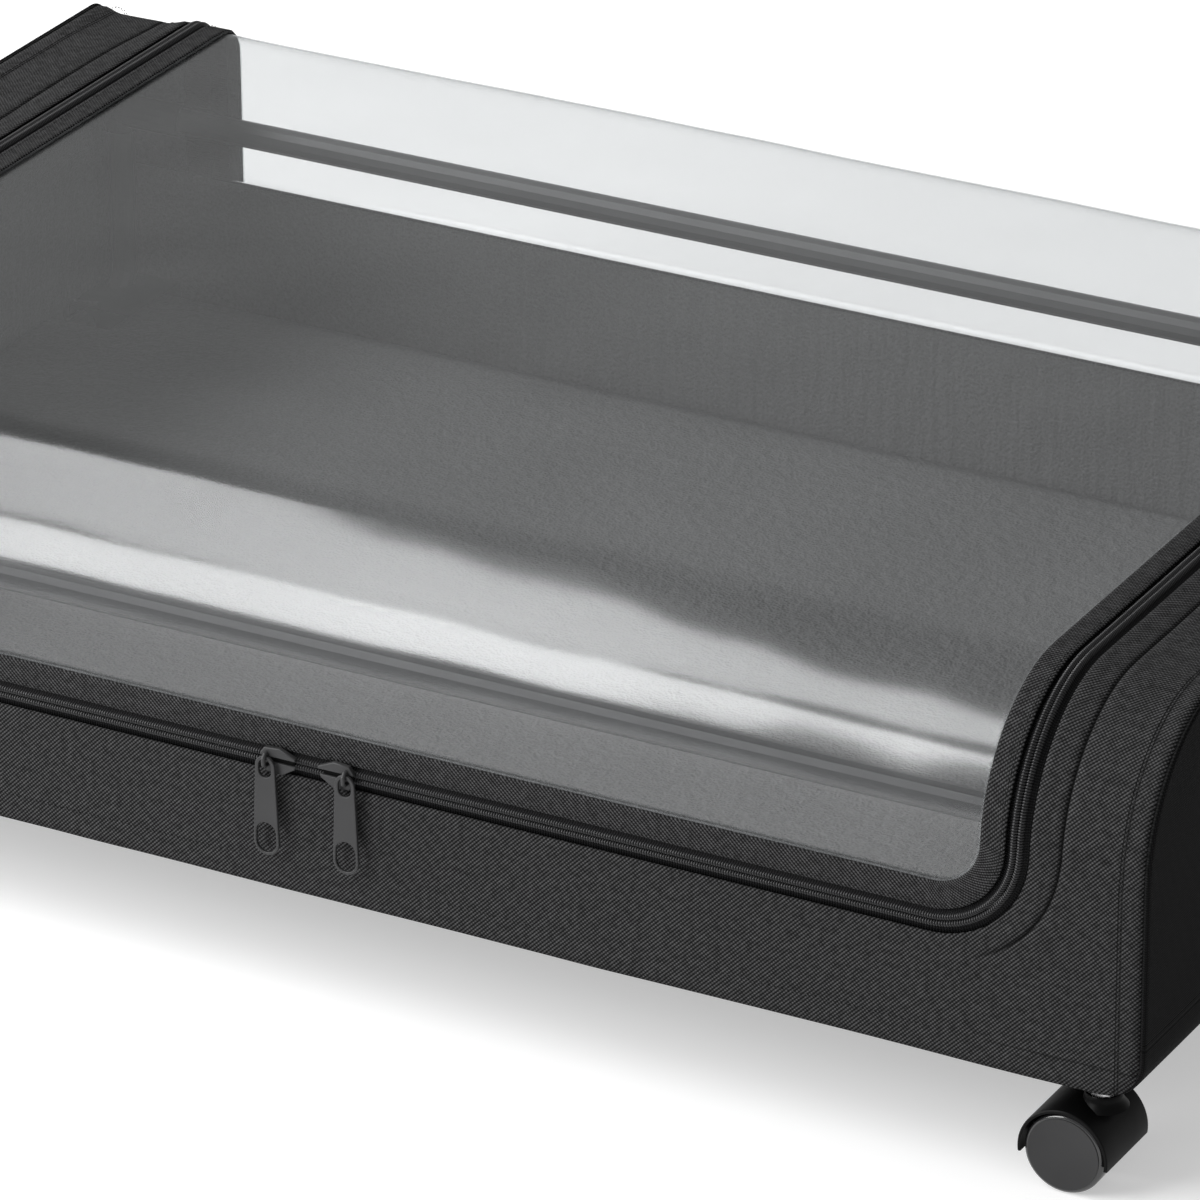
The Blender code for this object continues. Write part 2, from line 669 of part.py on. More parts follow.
LEVEL = Matrix.Identity(4)
UPRIGHT = Matrix(((1, 0, 0, 0), (0, 0, -1, 0), (0, 1, 0, 0), (0, 0, 0, 1)))
ENDWISE = Matrix(((0, 0, 1, 0), (1, 0, 0, 0), (0, 1, 0, 0), (0, 0, 0, 1)))
CORNERS = (
    ("front_left", -1, -1),
    ("front_right", 1, -1),
    ("rear_left", -1, 1),
    ("rear_right", 1, 1),
)

clear_file()
PARTS = bpy.data.collections.new("under_bed_box")
CUTTERS = bpy.data.collections.new("cutters")
bpy.context.scene.collection.children.link(PARTS)
bpy.context.scene.collection.children.link(CUTTERS)
SLOTS = make_materials()
build_all()
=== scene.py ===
"""A rolling under-bed box: cloth, clear cover, zipper, frame and casters."""

import json
import math

import bpy
from bpy.props import FloatProperty, FloatVectorProperty, PointerProperty
from mathutils import Matrix, Vector, noise


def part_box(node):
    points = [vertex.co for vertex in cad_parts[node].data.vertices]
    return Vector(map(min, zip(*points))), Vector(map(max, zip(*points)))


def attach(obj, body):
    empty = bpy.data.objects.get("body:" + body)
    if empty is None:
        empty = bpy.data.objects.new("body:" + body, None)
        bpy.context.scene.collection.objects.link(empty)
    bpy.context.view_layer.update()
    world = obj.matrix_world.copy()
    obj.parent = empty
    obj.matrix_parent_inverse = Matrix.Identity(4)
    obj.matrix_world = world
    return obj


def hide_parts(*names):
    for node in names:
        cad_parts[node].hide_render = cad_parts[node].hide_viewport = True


bl_info = {
    "name": "Under-bed box",
    "version": (1, 0, 0),
    "blender": (4, 5, 0),
    "location": "3D View > Sidebar > Under-bed box",
    "description": "Builds the cloth, cover, zipper, sliders, casters and stage of an under-bed box",
    "category": "Object",
}

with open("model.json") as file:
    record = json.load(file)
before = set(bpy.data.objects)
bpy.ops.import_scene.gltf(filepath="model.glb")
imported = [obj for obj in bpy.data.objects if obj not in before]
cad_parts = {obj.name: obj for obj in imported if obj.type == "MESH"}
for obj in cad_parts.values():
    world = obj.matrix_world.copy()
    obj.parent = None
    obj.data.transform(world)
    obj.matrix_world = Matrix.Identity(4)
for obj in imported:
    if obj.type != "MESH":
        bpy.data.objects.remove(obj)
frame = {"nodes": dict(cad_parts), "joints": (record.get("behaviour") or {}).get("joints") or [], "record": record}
NODES = frame["nodes"]
JOINTS = {j["name"]: j for j in frame["joints"]}
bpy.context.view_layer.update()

CLEARANCE = 0.0003
SIDES = (("left", -1), ("right", 1))
CORNERS = (("front_left", -1, -1), ("front_right", 1, -1), ("rear_left", -1, 1), ("rear_right", 1, 1))

# The cloth's outline, taken from the frame.
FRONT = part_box("front_panel")[0].y
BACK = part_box("back_panel")[1].y
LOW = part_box("front_panel")[0].z
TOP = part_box("left_gusset")[1].z
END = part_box("right_end_panel")[1].x
WRAP_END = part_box("front_panel")[1].x
FRONT_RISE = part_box("front_panel")[1].z + CLEARANCE - LOW
REAR_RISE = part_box("back_panel")[1].z + CLEARANCE - LOW
FRONT_BEND = TOP - LOW - FRONT_RISE
REAR_BEND = TOP - LOW - REAR_RISE
HINGE_RISE = JOINTS["cover_hinge"]["pos_m"][2] - LOW
END_ROUND = 0.018
MIDDLE = Vector((0.0, (FRONT + BACK) / 2, (LOW + TOP) / 2))

# Lengths along the cloth, from the front's bottom edge over the top and down the back.
S_FRONT = FRONT_RISE
S_TOP = S_FRONT + FRONT_BEND * math.pi / 2
S_REAR_BEND = S_TOP + (BACK - FRONT) - FRONT_BEND - REAR_BEND
S_REAR = S_REAR_BEND + REAR_BEND * math.pi / 2
S_END = S_REAR + REAR_RISE
COVER_S = S_END - HINGE_RISE

# The zipper's line on that cloth.
COIL_LOW = 0.0611
COIL_SIDE = 0.3408
COIL_CORNER = 0.0395
COIL_HALF = 0.0030
COIL_TALL = 0.0026
COIL_SUNK = 0.0012
COIL_ACROSS = (0.00016, 0.0008, 0.0015, 0.0023, 0.0030)
RIDGE_SHARE = 0.42
RIDGE_FALL = 0.0006
TAPE_BACK, TAPE_FACE = -0.0023, -0.0017
BODY_TAPE, COVER_TAPE = 0.0150, 0.0097
WINDOW_TUCK = 0.0100
WHEEL_RADIUS = 0.018
CLOTH_EDGE = 0.0058
BORDER_EDGE = 0.0050
WINDOW_SIDE = 0.0165
WINDOW_FRONT = 0.0179
SEAM_DROP = 0.0032
SIDE_RUN = COVER_S - CLEARANCE - COIL_LOW - COIL_CORNER
TURN_RUN = COIL_CORNER * math.pi / 2
FRONT_RUN = 2 * (COIL_SIDE - COIL_CORNER)
PATH = 2 * (SIDE_RUN + TURN_RUN) + FRONT_RUN

# Sewn lines: the foot's distance from the bottom edge, and what marks the back's own line.
FOOT_SEAM = 0.012
BACK_MARK = 0.5

UPRIGHT = Matrix(((1, 0, 0, 0), (0, 0, -1, 0), (0, 1, 0, 0), (0, 0, 0, 1)))


def settings():
    return bpy.context.scene.under_bed_box


def wrap(x, s, out=0.0):
    """A point on the outer cloth, or out metres proud of it."""
    if s <= S_FRONT:
        return Vector((x, FRONT - out, LOW + s))
    if s <= S_TOP:
        a = (s - S_FRONT) / FRONT_BEND
        r = FRONT_BEND + out
        return Vector((x, FRONT + FRONT_BEND - r * math.cos(a), LOW + S_FRONT + r * math.sin(a)))
    if s <= S_REAR_BEND:
        return Vector((x, FRONT + FRONT_BEND + s - S_TOP, TOP + out))
    if s <= S_REAR:
        a = (s - S_REAR_BEND) / REAR_BEND
        r = REAR_BEND + out
        return Vector((x, BACK - REAR_BEND + r * math.sin(a), LOW + REAR_RISE + r * math.cos(a)))
    return Vector((x, BACK + out, LOW + REAR_RISE - (s - S_REAR)))


def coil_at(t):
    """The zipper's line t metres from its left rear end: x, s and the way away from the cover."""
    if t > PATH / 2:
        x, s, u, v = coil_at(PATH - t)
        return -x, s, -u, v
    cx = COIL_SIDE - COIL_CORNER
    low = COIL_LOW + COIL_CORNER
    if t < SIDE_RUN:
        return -COIL_SIDE, low + SIDE_RUN - t, -1.0, 0.0
    if t < SIDE_RUN + TURN_RUN:
        a = (t - SIDE_RUN) / COIL_CORNER
        return -cx - COIL_CORNER * math.cos(a), low - COIL_CORNER * math.sin(a), -math.cos(a), -math.sin(a)
    return -cx + t - SIDE_RUN - TURN_RUN, COIL_LOW, 0.0, -1.0


def even(start, end, step):
    count = max(1, round(abs(end - start) / step))
    return [start + (end - start) * i / count for i in range(count + 1)]


def stations(step):
    """Places along the zipper, with one at each change of direction."""
    half = even(0, SIDE_RUN, step) + even(SIDE_RUN, SIDE_RUN + TURN_RUN, 0.003)[1:]
    half += even(SIDE_RUN + TURN_RUN, PATH / 2, step)[1:]
    return half + [PATH - t for t in reversed(half[:-1])]


def soft(x, y, size, height):
    """A slow unevenness, the same on every run."""
    return height * noise.noise(Vector((x / size, y / size, size * 40)))


def fade(value, start, end):
    t = min(1.0, max(0.0, (value - start) / (end - start)))
    return t * t * (3 - 2 * t)


def link(o, body, slot, *stands_for):
    bpy.context.scene.collection.objects.link(o)
    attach(o, body)
    if stands_for:
        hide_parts(*stands_for)
    return o


def shaped(name, points, faces, maps=None, materials=(), smooth=True, outward=None):
    """A mesh object; maps holds one pair of cloth coordinates a point for each UV map."""
    mesh = bpy.data.meshes.new(name)
    mesh.from_pydata([tuple(p) for p in points], [], faces)
    if outward is not None:
        way = sum(p.area * p.normal.dot(p.center - outward) for p in mesh.polygons)
        if way < 0:
            mesh.flip_normals()
    for title, values in (maps or {}).items():
        layer = mesh.uv_layers.new(name=title)
        for loop in mesh.loops:
            layer.data[loop.index].uv = values[loop.vertex_index]
    for m in materials:
        mesh.materials.append(m)
    if smooth:
        mesh.shade_smooth()
    return bpy.data.objects.new(name, mesh)


def quads(rows, columns, closed=False):
    made = []
    last = columns if closed else columns - 1
    for i in range(rows - 1):
        for j in range(last):
            k = (j + 1) % columns
            made.append((i * columns + j, i * columns + k, (i + 1) * columns + k, (i + 1) * columns + j))
    return made


def around(rows, columns):
    """The faces of a closed section carried round a full turn."""
    faces = quads(rows, columns, closed=True)
    last = (rows - 1) * columns
    return faces + [(last + j, last + (j + 1) % columns, (j + 1) % columns, j) for j in range(columns)]


def wall(o, thickness, lined=False):
    """Gives a cloth its thickness, with its lining on the inner side."""
    m = o.modifiers.new("thickness", "SOLIDIFY")
    m.thickness = thickness
    m.offset = -1.0
    m.use_even_offset = True
    if lined:
        m.material_offset = 1
    return o


# --- Materials -------------------------------------------------------------------------------


def finish_of(name, colour, roughness, metallic=0.0):
    m = bpy.data.materials.new(name)
    m.use_nodes = True
    shader = m.node_tree.nodes["Principled BSDF"]
    shader.inputs["Base Color"].default_value = (*colour, 1.0)
    shader.inputs["Roughness"].default_value = roughness
    shader.inputs["Metallic"].default_value = metallic
    m.diffuse_color = (*colour, 1.0)
    return m, m.node_tree, shader


def add(tree, kind, *inputs, **options):
    n = tree.nodes.new(kind)
    for key, value in options.items():
        setattr(n, key, value)
    for i, value in enumerate(inputs):
        if value is None:
            continue
        if isinstance(value, bpy.types.NodeSocket):
            tree.links.new(value, n.inputs[i])
        else:
            n.inputs[i].default_value = value
    return n


def maths(tree, operation, *inputs, clamp=False):
    return add(tree, "ShaderNodeMath", *inputs, operation=operation, use_clamp=clamp).outputs[0]


def map_of(tree, title):
    uv = add(tree, "ShaderNodeUVMap", uv_map=title).outputs[0]
    parts = add(tree, "ShaderNodeSeparateXYZ", uv)
    return parts.outputs[0], parts.outputs[1]


def blend_colours(tree, factor, dark, light):
    n = tree.nodes.new("ShaderNodeMix")
    n.data_type = "RGBA"
    for socket, value in ((n.inputs[0], factor), (n.inputs[6], dark), (n.inputs[7], light)):
        if isinstance(value, bpy.types.NodeSocket):
            tree.links.new(value, socket)
        else:
            socket.default_value = value if isinstance(value, float) else (*value, 1.0)
    return n.outputs[2]


def wave(tree, along, pitch):
    turns = maths(tree, "MULTIPLY", along, 2 * math.pi / pitch)
    return maths(tree, "MULTIPLY_ADD", maths(tree, "SINE", turns), 0.5, 0.5)


def line(tree, value, at, width):
    """1 on a line of that width and 0 away from it."""
    away = maths(tree, "ABSOLUTE", maths(tree, "SUBTRACT", value, at))
    return maths(tree, "SUBTRACT", 1.0, maths(tree, "DIVIDE", away, width), clamp=True)


def speckle(tree, scale, detail=2.0):
    where = add(tree, "ShaderNodeTexCoord").outputs["Object"]
    n = add(tree, "ShaderNodeTexNoise")
    tree.links.new(where, n.inputs["Vector"])
    n.inputs["Scale"].default_value = scale
    n.inputs["Detail"].default_value = detail
    return n.outputs[0]


def bump(tree, shader, height, distance, strength=1.0):
    n = tree.nodes.new("ShaderNodeBump")
    n.inputs["Strength"].default_value = strength
    n.inputs["Distance"].default_value = distance
    tree.links.new(height, n.inputs["Height"])
    tree.links.new(n.outputs[0], shader.inputs["Normal"])


def ribs(tree, title, pitch):
    """The cloth's raised diagonal threads, with fainter ones that cross them."""
    u, v = map_of(tree, title)
    slant = pitch * math.sqrt(2)
    main = wave(tree, maths(tree, "SUBTRACT", v, u), slant)
    cross = wave(tree, maths(tree, "ADD", v, u), slant)
    fill = wave(tree, maths(tree, "MULTIPLY_ADD", u, 0.16, v), pitch * 0.73)
    weft = maths(tree, "MULTIPLY_ADD", cross, 0.42, maths(tree, "MULTIPLY", fill, 0.38))
    dashes = maths(tree, "MULTIPLY", maths(tree, "POWER", main, 1.5), maths(tree, "ADD", weft, 0.22))
    patch = maths(tree, "MULTIPLY_ADD", speckle(tree, 330.0), 2.0, 0.1)
    return maths(tree, "MULTIPLY", maths(tree, "MULTIPLY_ADD", cross, 0.08, dashes), patch, clamp=True)


def twill(name, seams):
    """Black twill; seams lists (map, which coordinate, where, width, depth) of its sewn lines."""
    s = settings()
    dark = tuple(c * 0.10 for c in s.cloth_colour)
    light = tuple(min(1.0, c * 4.3) for c in s.cloth_colour)
    m, tree, shader = finish_of(name, s.cloth_colour, 0.72)
    height = ribs(tree, "cloth", s.rib_pitch)
    sunk = None
    for title, which, at, width, depth in seams:
        mark = maths(tree, "MULTIPLY", line(tree, map_of(tree, title)[which], at, width), depth)
        sunk = mark if sunk is None else maths(tree, "MAXIMUM", sunk, mark)
    if sunk is None:
        painted_light_tone = height
        shape = height
    else:
        crease = add(tree, "ShaderNodeAttribute", attribute_name="crease").outputs["Fac"]
        sunk = maths(tree, "MULTIPLY", sunk, crease)
        kept = maths(tree, "SUBTRACT", 1.0, sunk)
        # Painted shade: the colour is darkened along the sunk seam lines, as shade in their creases.
        painted_light_tone = maths(tree, "MULTIPLY", height, kept)
        shape = maths(tree, "MULTIPLY_ADD", sunk, -3.0, height)
    # Painted highlight and shade: thread height sets the colour, so raised threads are painted lighter and the
    # pits darker.
    colour = blend_colours(tree, painted_light_tone, dark, light)
    tree.links.new(colour, shader.inputs["Base Color"])
    rough = maths(tree, "MULTIPLY_ADD", height, -0.16, 0.78)
    tree.links.new(rough, shader.inputs["Roughness"])
    shader.inputs["Specular IOR Level"].default_value = 0.07
    bump(tree, shader, shape, 0.00028, 0.7)
    return m


def lining():
    m, tree, shader = finish_of("grey_lining", settings().lining_colour, 0.8)
    base = settings().lining_colour
    where = add(tree, "ShaderNodeTexCoord").outputs["Object"]
    dots = add(tree, "ShaderNodeTexVoronoi", where, feature="F1")
    dots.inputs["Scale"].default_value = 620.0
    stretch = add(tree, "ShaderNodeMapping", where)
    stretch.inputs["Scale"].default_value = (34.0, 34.0, 5.0)
    folds = add(tree, "ShaderNodeTexNoise", stretch.outputs[0]).outputs[0]
    broad = speckle(tree, 14.0)
    pressed = maths(tree, "MULTIPLY", dots.outputs["Distance"], 1.3, clamp=True)
    mixed = maths(tree, "MULTIPLY_ADD", broad, 0.45, maths(tree, "MULTIPLY", pressed, 0.55))
    colour = blend_colours(tree, mixed, tuple(c * 0.70 for c in base), tuple(c * 1.35 for c in base))
    tree.links.new(colour, shader.inputs["Base Color"])
    shader.inputs["Specular IOR Level"].default_value = 0.2
    bump(tree, shader, maths(tree, "MULTIPLY_ADD", folds, 5.0, pressed), 0.0007, 0.6)
    return m


def grained(name, colour, roughness, metallic=0.0, scale=1400.0, depth=0.00004, wear=0.25, shine=0.25):
    """Moulded plastic or painted metal with a fine grain and slightly uneven gloss."""
    m, tree, shader = finish_of(name, colour, roughness, metallic)
    shader.inputs["Specular IOR Level"].default_value = shine
    fine = speckle(tree, scale, 3.0)
    broad = speckle(tree, 38.0)
    worn, fresh = (tuple(c * (1 + sign * wear) for c in colour) for sign in (-1, 1))
    tint = blend_colours(tree, broad, worn, fresh)
    tree.links.new(tint, shader.inputs["Base Color"])
    gloss = maths(tree, "MULTIPLY_ADD", broad, 0.18, roughness - 0.09)
    tree.links.new(gloss, shader.inputs["Roughness"])
    bump(tree, shader, fine, depth, 0.6)
    return m


def tape_material():
    m, tree, shader = finish_of("zipper_tape_weave", (0.012, 0.012, 0.013), 0.7)
    u, v = map_of(tree, "cloth")
    across = wave(tree, u, settings().tooth_pitch)
    along = wave(tree, v, 0.0011)
    height = maths(tree, "MULTIPLY_ADD", across, 0.8, maths(tree, "MULTIPLY", along, 0.2))
    height = maths(tree, "POWER", height, 1.5)
    # Painted highlight and shade: raised ribs are painted lighter and the grooves between them near black, by
    # their height.
    colour = blend_colours(tree, height, (0.0008, 0.0008, 0.001), (0.014, 0.014, 0.015))
    tree.links.new(colour, shader.inputs["Base Color"])
    shader.inputs["Specular IOR Level"].default_value = 0.15
    bump(tree, shader, height, 0.0003, 0.8)
    return m


def clear_material():
    """Clear soft plastic: mostly see-through, whiter and glossier where it is seen edge on."""
    m, tree, shader = finish_of("clear_plastic", (0.96, 0.97, 0.975), 0.15, 0.85)
    facing = add(tree, "ShaderNodeLayerWeight", 0.5).outputs["Facing"]
    haze = maths(tree, "MULTIPLY_ADD", speckle(tree, 5.0), 0.02, settings().cover_haze)
    cover = maths(tree, "MULTIPLY_ADD", maths(tree, "POWER", facing, 5.0), 0.90, haze, clamp=True)
    tint = blend_colours(tree, maths(tree, "POWER", facing, 4.0), (0.972, 0.976, 0.978), (0.74, 0.755, 0.76))
    clear = add(tree, "ShaderNodeBsdfTransparent", tint)
    both = add(tree, "ShaderNodeMixShader", cover, clear.outputs[0], shader.outputs[0])
    tree.links.new(both.outputs[0], tree.nodes["Material Output"].inputs["Surface"])
    bump(tree, shader, speckle(tree, 9.0, 1.0), 0.0015, 0.25)
    return m


def rim_material():
    """The folded edge of the clear plastic: a faint grey line."""
    m, tree, shader = finish_of("clear_plastic_edge", (0.45, 0.46, 0.47), 0.35)
    cover = maths(tree, "MULTIPLY_ADD", speckle(tree, 30.0), 0.12, 0.01, clamp=True)
    clear = add(tree, "ShaderNodeBsdfTransparent", (0.94, 0.95, 0.95, 1.0))
    both = add(tree, "ShaderNodeMixShader", cover, clear.outputs[0], shader.outputs[0])
    tree.links.new(both.outputs[0], tree.nodes["Material Output"].inputs["Surface"])
    return m


def store(key, maker):
    if key not in STORE:
        STORE[key] = maker()
    return STORE[key]


STORE = {}


def coat(key, name, *look, **more):
    return store(key, lambda: grained(name, *look, **more))


def end_material():
    """The ends' plainer cloth with one seam above the foot, painted darker than the wrap as shade on faces turned
    from the light.
    """
    base = settings().shaded_end_colour
    m, tree, shader = finish_of("black_end_cloth", base, 0.75)
    u, v = map_of(tree, "cloth")
    fine = maths(tree, "MULTIPLY", wave(tree, u, 0.0011), wave(tree, v, 0.0011))
    seam = maths(tree, "MAXIMUM", line(tree, v, 0.0345, 0.0010), line(tree, v, 0.0372, 0.0005))
    kept = maths(tree, "MULTIPLY", fine, maths(tree, "SUBTRACT", 1.0, seam))
    # Painted highlight and shade: the raised weave is painted lighter, and the sunk seam lines darker.
    colour = blend_colours(tree, kept, tuple(c * 0.45 for c in base), tuple(c * 2.2 for c in base))
    tree.links.new(colour, shader.inputs["Base Color"])
    shader.inputs["Specular IOR Level"].default_value = 0.06
    bump(tree, shader, maths(tree, "MULTIPLY_ADD", seam, -3.0, fine), 0.0002, 0.7)
    return m


def outer_twill():
    s = settings()
    seams = (
        ("seams", 0, s.seam_offset, 0.0012, 1.0),
        ("seams", 1, s.hem_width - 0.0007, 0.0005, 0.75),
        ("seams", 1, s.hem_width + 0.0007, 0.0005, 0.75),
        ("cloth", 1, FOOT_SEAM, 0.0007, 0.55),
        ("cloth", 1, S_END - FOOT_SEAM, 0.0007, 0.55),
        ("seams", 0, BACK_MARK + 0.0060, 0.0006, 0.8),
        ("seams", 0, BACK_MARK + 0.0088, 0.0006, 0.6),
    )
    return store("outer", lambda: twill("black_twill", seams))


def end_twill():
    return store("end", end_material)


def plain_twill():
    return store("plain", lambda: twill("black_twill_plain", ()))


def lining_material():
    return store("lining", lining)


def mark_crease(o, values):
    a = o.data.attributes.new("crease", "FLOAT", "POINT")
    a.data.foreach_set("value", values)


# --- Cloth -----------------------------------------------------------------------------------


def reach(x, s, u, v):
    """How far it is from a point on the cloth to the cloth's own edge, going one way."""
    tries = []
    if abs(u) > 1e-6:
        tries.append((WRAP_END - abs(x)) / abs(u))
    if v < -1e-6:
        tries.append(s / -v)
    d = min(tries)
    corner = WRAP_END - END_ROUND
    if abs(x) + d * abs(u) > corner and s + d * v < END_ROUND:
        dx, ds = abs(x) - corner, s - END_ROUND
        b = dx * abs(u) + ds * v
        d = -b + math.sqrt(b * b - dx * dx - ds * ds + END_ROUND**2)
    return d


def ring_rows(total, drop=0.0):
    """Distances out from the cloth's inner edge, close together where its seam dips."""
    seam = settings().seam_offset - CLOTH_EDGE - drop
    near = [0.0, 0.0006, 0.0016, 0.004, seam - 0.004, seam - 0.0009, seam, seam + 0.0009, seam + 0.004]
    return near + even(near[-1], total, (total - near[-1]) / 12)[1:]


def cloth_out(x, s, inner, outer, seam_at=None):
    """How far the cloth stands out from its pattern, given the distance to its inner and outer edges."""
    lip = -0.0007 * (1 - fade(inner, 0.0, 0.0014)) + 0.0003 * (1 - fade(inner, 0.0014, 0.006))
    fold = -0.0012 * (1 - fade(outer, 0.0, 0.0020))
    seam = 0.0
    if seam_at is not None:
        seam = -0.0010 * max(0.0, 1 - abs(inner - seam_at) / 0.0010) * fade(abs(x), 0.316, 0.345)
    calm = fade(inner, 0.0, 0.01) * fade(outer, 0.0, 0.012)
    sag = 0.0
    if abs(x) > COIL_SIDE and s > S_FRONT:
        sag = -0.0006 - 0.0016 * math.exp(-(((s - S_REAR_BEND) / 0.028) ** 2))
    return lip + fold + seam + calm * (sag + soft(x, s, 0.11, 0.0010) + soft(x + 3, s, 0.035, 0.00035))


def cloth_wrap():
    corner = math.atan2(COIL_LOW + COIL_CORNER, WRAP_END - COIL_SIDE + COIL_CORNER)
    exact = SIDE_RUN + COIL_CORNER * corner
    turn = even(exact - 0.005, exact + 0.005, 0.0005)
    marks = sorted({*stations(0.006), *turn, *(PATH - t for t in turn)})
    points, cloth, seams, crease = [], [], [], []
    for t in marks:
        x, s, u, v = coil_at(t)
        x0, s0 = x + CLOTH_EDGE * u, s + CLOTH_EDGE * v
        total = reach(x0, s0, u, v)
        drop = SEAM_DROP * abs(v)
        seam_at = settings().seam_offset - CLOTH_EDGE - drop
        for d in ring_rows(total, drop):
            px, ps = x0 + d * u, s0 + d * v
            edge = WRAP_END - abs(px)
            points.append(wrap(px, ps, cloth_out(px, ps, d, edge, seam_at)))
            cloth.append((px, ps))
            seams.append((d + CLOTH_EDGE + drop, edge))
            crease.append(1.0 if abs(px) > 0.345 else fade(abs(px), 0.316, 0.345))
    columns = len(ring_rows(0.05))
    faces = quads(len(marks), columns)
    first = len(points)
    level = ring_rows(WRAP_END - COIL_SIDE - CLOTH_EDGE)
    side = [COIL_SIDE + CLOTH_EDGE + d for d in level]
    across = [-x for x in reversed(side)] + even(-side[0], side[0], 0.008)[1:-1] + side
    foot = S_END - END_ROUND
    down = [COVER_S + CLEARANCE + d for d in (0.0, 0.0008, 0.003)] + even(COVER_S + 0.009, foot, 0.008)
    down += [foot + END_ROUND * math.sin(math.pi / 2 * i / 10) for i in range(1, 11)]
    for s in down:
        limit = WRAP_END - END_ROUND + math.sqrt(max(0.0, END_ROUND**2 - max(0.0, s - foot) ** 2))
        for x in across:
            inner = 1.0 if abs(x) > side[0] else s - COVER_S
            edge = WRAP_END - abs(x)
            if abs(x) > side[0]:
                share = (abs(x) - side[0]) / (WRAP_END - side[0])
                x = math.copysign(side[0] + share * (limit - side[0]), x)
            points.append(wrap(x, s, cloth_out(x, s, inner, edge)))
            cloth.append((x, s))
            seams.append((BACK_MARK + s - COVER_S, edge))
            crease.append(1.0)
    faces += [tuple(first + i for i in f) for f in quads(len(down), len(across))]
    maps = {"cloth": cloth, "seams": seams}
    o = shaped("cloth_wrap", points, faces, maps, (outer_twill(), lining_material()), outward=MIDDLE)
    mark_crease(o, crease)
    wall(o, 0.0015, lined=True)
    link(o, "base", "black_cloth", "front_panel", "back_panel", "left_gusset", "right_gusset")
    wrap_threads()


def stitches(name, spots, body):
    """Short raised threads; each spot is a point on the cloth, the way the thread runs and the way out."""
    long, wide, tall = 0.0011, 0.00028, 0.00022
    points, faces = [], []
    for at, along, out in spots:
        side = along.cross(out).normalized()
        k = len(points)
        points += [
            at - long * along, at + wide * side, at + tall * out,
            at - wide * side, at - tall * out, at + long * along,
        ]
        for a, b in ((1, 2), (2, 3), (3, 4), (4, 1)):
            faces += [(k, k + b, k + a), (k + 5, k + a, k + b)]
    thread = coat("thread", "black_thread", settings().thread_colour, 0.5, scale=5000.0, depth=0.00002)
    return link(shaped(name, points, faces, None, (thread,), outward=None), body, "black_cloth")


def on_cloth(x, s, dx, ds, lift):
    """A thread's place on the wrap, running dx across and ds along the cloth."""
    at = wrap(x, s, lift)
    along = (wrap(x + 0.001 * dx, s + 0.001 * ds, lift) - at).normalized()
    out = (wrap(x, s, lift + 0.001) - at).normalized()
    return at, along, out


def wrap_threads():
    pitch = settings().stitch_pitch
    spots = []
    for side in (-1, 1):
        for shift in (-0.0007, 0.0007):
            x = side * (WRAP_END - settings().hem_width + shift)
            spots += [on_cloth(x, s, 0, 1, 0.0001) for s in even(0.020, S_END - 0.020, pitch)]
    for shift in (0.0060, 0.0088):
        row = COVER_S + shift
        spots += [on_cloth(x, row, 1, 0, 0.0001) for x in even(-WRAP_END + 0.016, WRAP_END - 0.016, pitch)]
    for row in (FOOT_SEAM, S_END - FOOT_SEAM):
        spots += [on_cloth(x, row, 1, 0, 0.0001) for x in even(-WRAP_END + 0.018, WRAP_END - 0.018, pitch)]
    return stitches("wrap_threads", spots, "base")


def end_heights():
    """Distance up an end's cloth from its bottom seam, with its x inset and height at each."""
    rows = []
    for i in range(9):
        a = math.pi / 2 * i / 8
        rows.append((END_ROUND * a, END_ROUND * (1 - math.sin(a)), END_ROUND * (1 - math.cos(a))))
    base = END_ROUND * math.pi / 2
    full = TOP - LOW
    heights = even(END_ROUND, full - 0.024, 0.006)[1:]
    heights += [full - 0.024 * (1 - math.sin(math.pi / 2 * i / 14)) for i in range(1, 15)]
    rows += [(base + z - END_ROUND, 0.0, z) for z in heights]
    return rows


def end_span(z):
    rise = max(0.0, z - FRONT_RISE)
    drop = max(0.0, z - REAR_RISE)
    near = FRONT + FRONT_BEND - math.sqrt(max(0.0, FRONT_BEND**2 - rise**2))
    far = BACK - REAR_BEND + math.sqrt(max(0.0, REAR_BEND**2 - drop**2))
    return near, far


def end_cloth(word, side):
    count = 60
    points, cloth, crease = [], [], []
    rows = end_heights()
    for run, inset, z in rows:
        near, far = end_span(z)
        for j in range(count + 1):
            t = 0.5 - 0.5 * math.cos(math.pi * j / count)
            y = near + (far - near) * t
            edge = min(y - near, far - y, TOP - LOW - z)
            calm = fade(edge, 0.0, 0.04) * fade(z, 0.0, 0.03)
            out = calm * (0.0006 + soft(y, z, 0.09, 0.0012)) - 0.0008 * (1 - fade(edge, 0.0, 0.0016))
            points.append(Vector((side * (END - inset + out), y, LOW + z)))
            cloth.append((y, run))
            crease.append(1.0)
    faces = quads(len(rows), count + 1)
    name = f"{word}_end_cloth"
    o = shaped(name, points, faces, {"cloth": cloth}, (end_twill(), lining_material()), outward=MIDDLE)
    mark_crease(o, crease)
    wall(o, 0.0013, lined=True)
    link(o, "base", "black_cloth", f"{word}_end_panel")


def bottom_cloth():
    low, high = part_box("bottom_panel")
    xs = even(low.x, high.x, 0.012)
    ys = even(low.y, high.y, 0.012)
    points, cloth = [], []
    for y in ys:
        for x in xs:
            edge = min(x - low.x, high.x - x, y - low.y, high.y - y)
            sag = fade(edge, 0.0, 0.05) * (-0.0006 + soft(x, y, 0.13, 0.0007))
            points.append(Vector((x, y, low.z + sag)))
            cloth.append((x, y))
    faces = quads(len(ys), len(xs))
    cloths = (plain_twill(), lining_material())
    o = shaped("bottom_cloth", points, faces, {"cloth": cloth}, cloths, outward=MIDDLE)
    wall(o, 0.0012, lined=True)
    link(o, "base", "black_cloth", "bottom_panel")


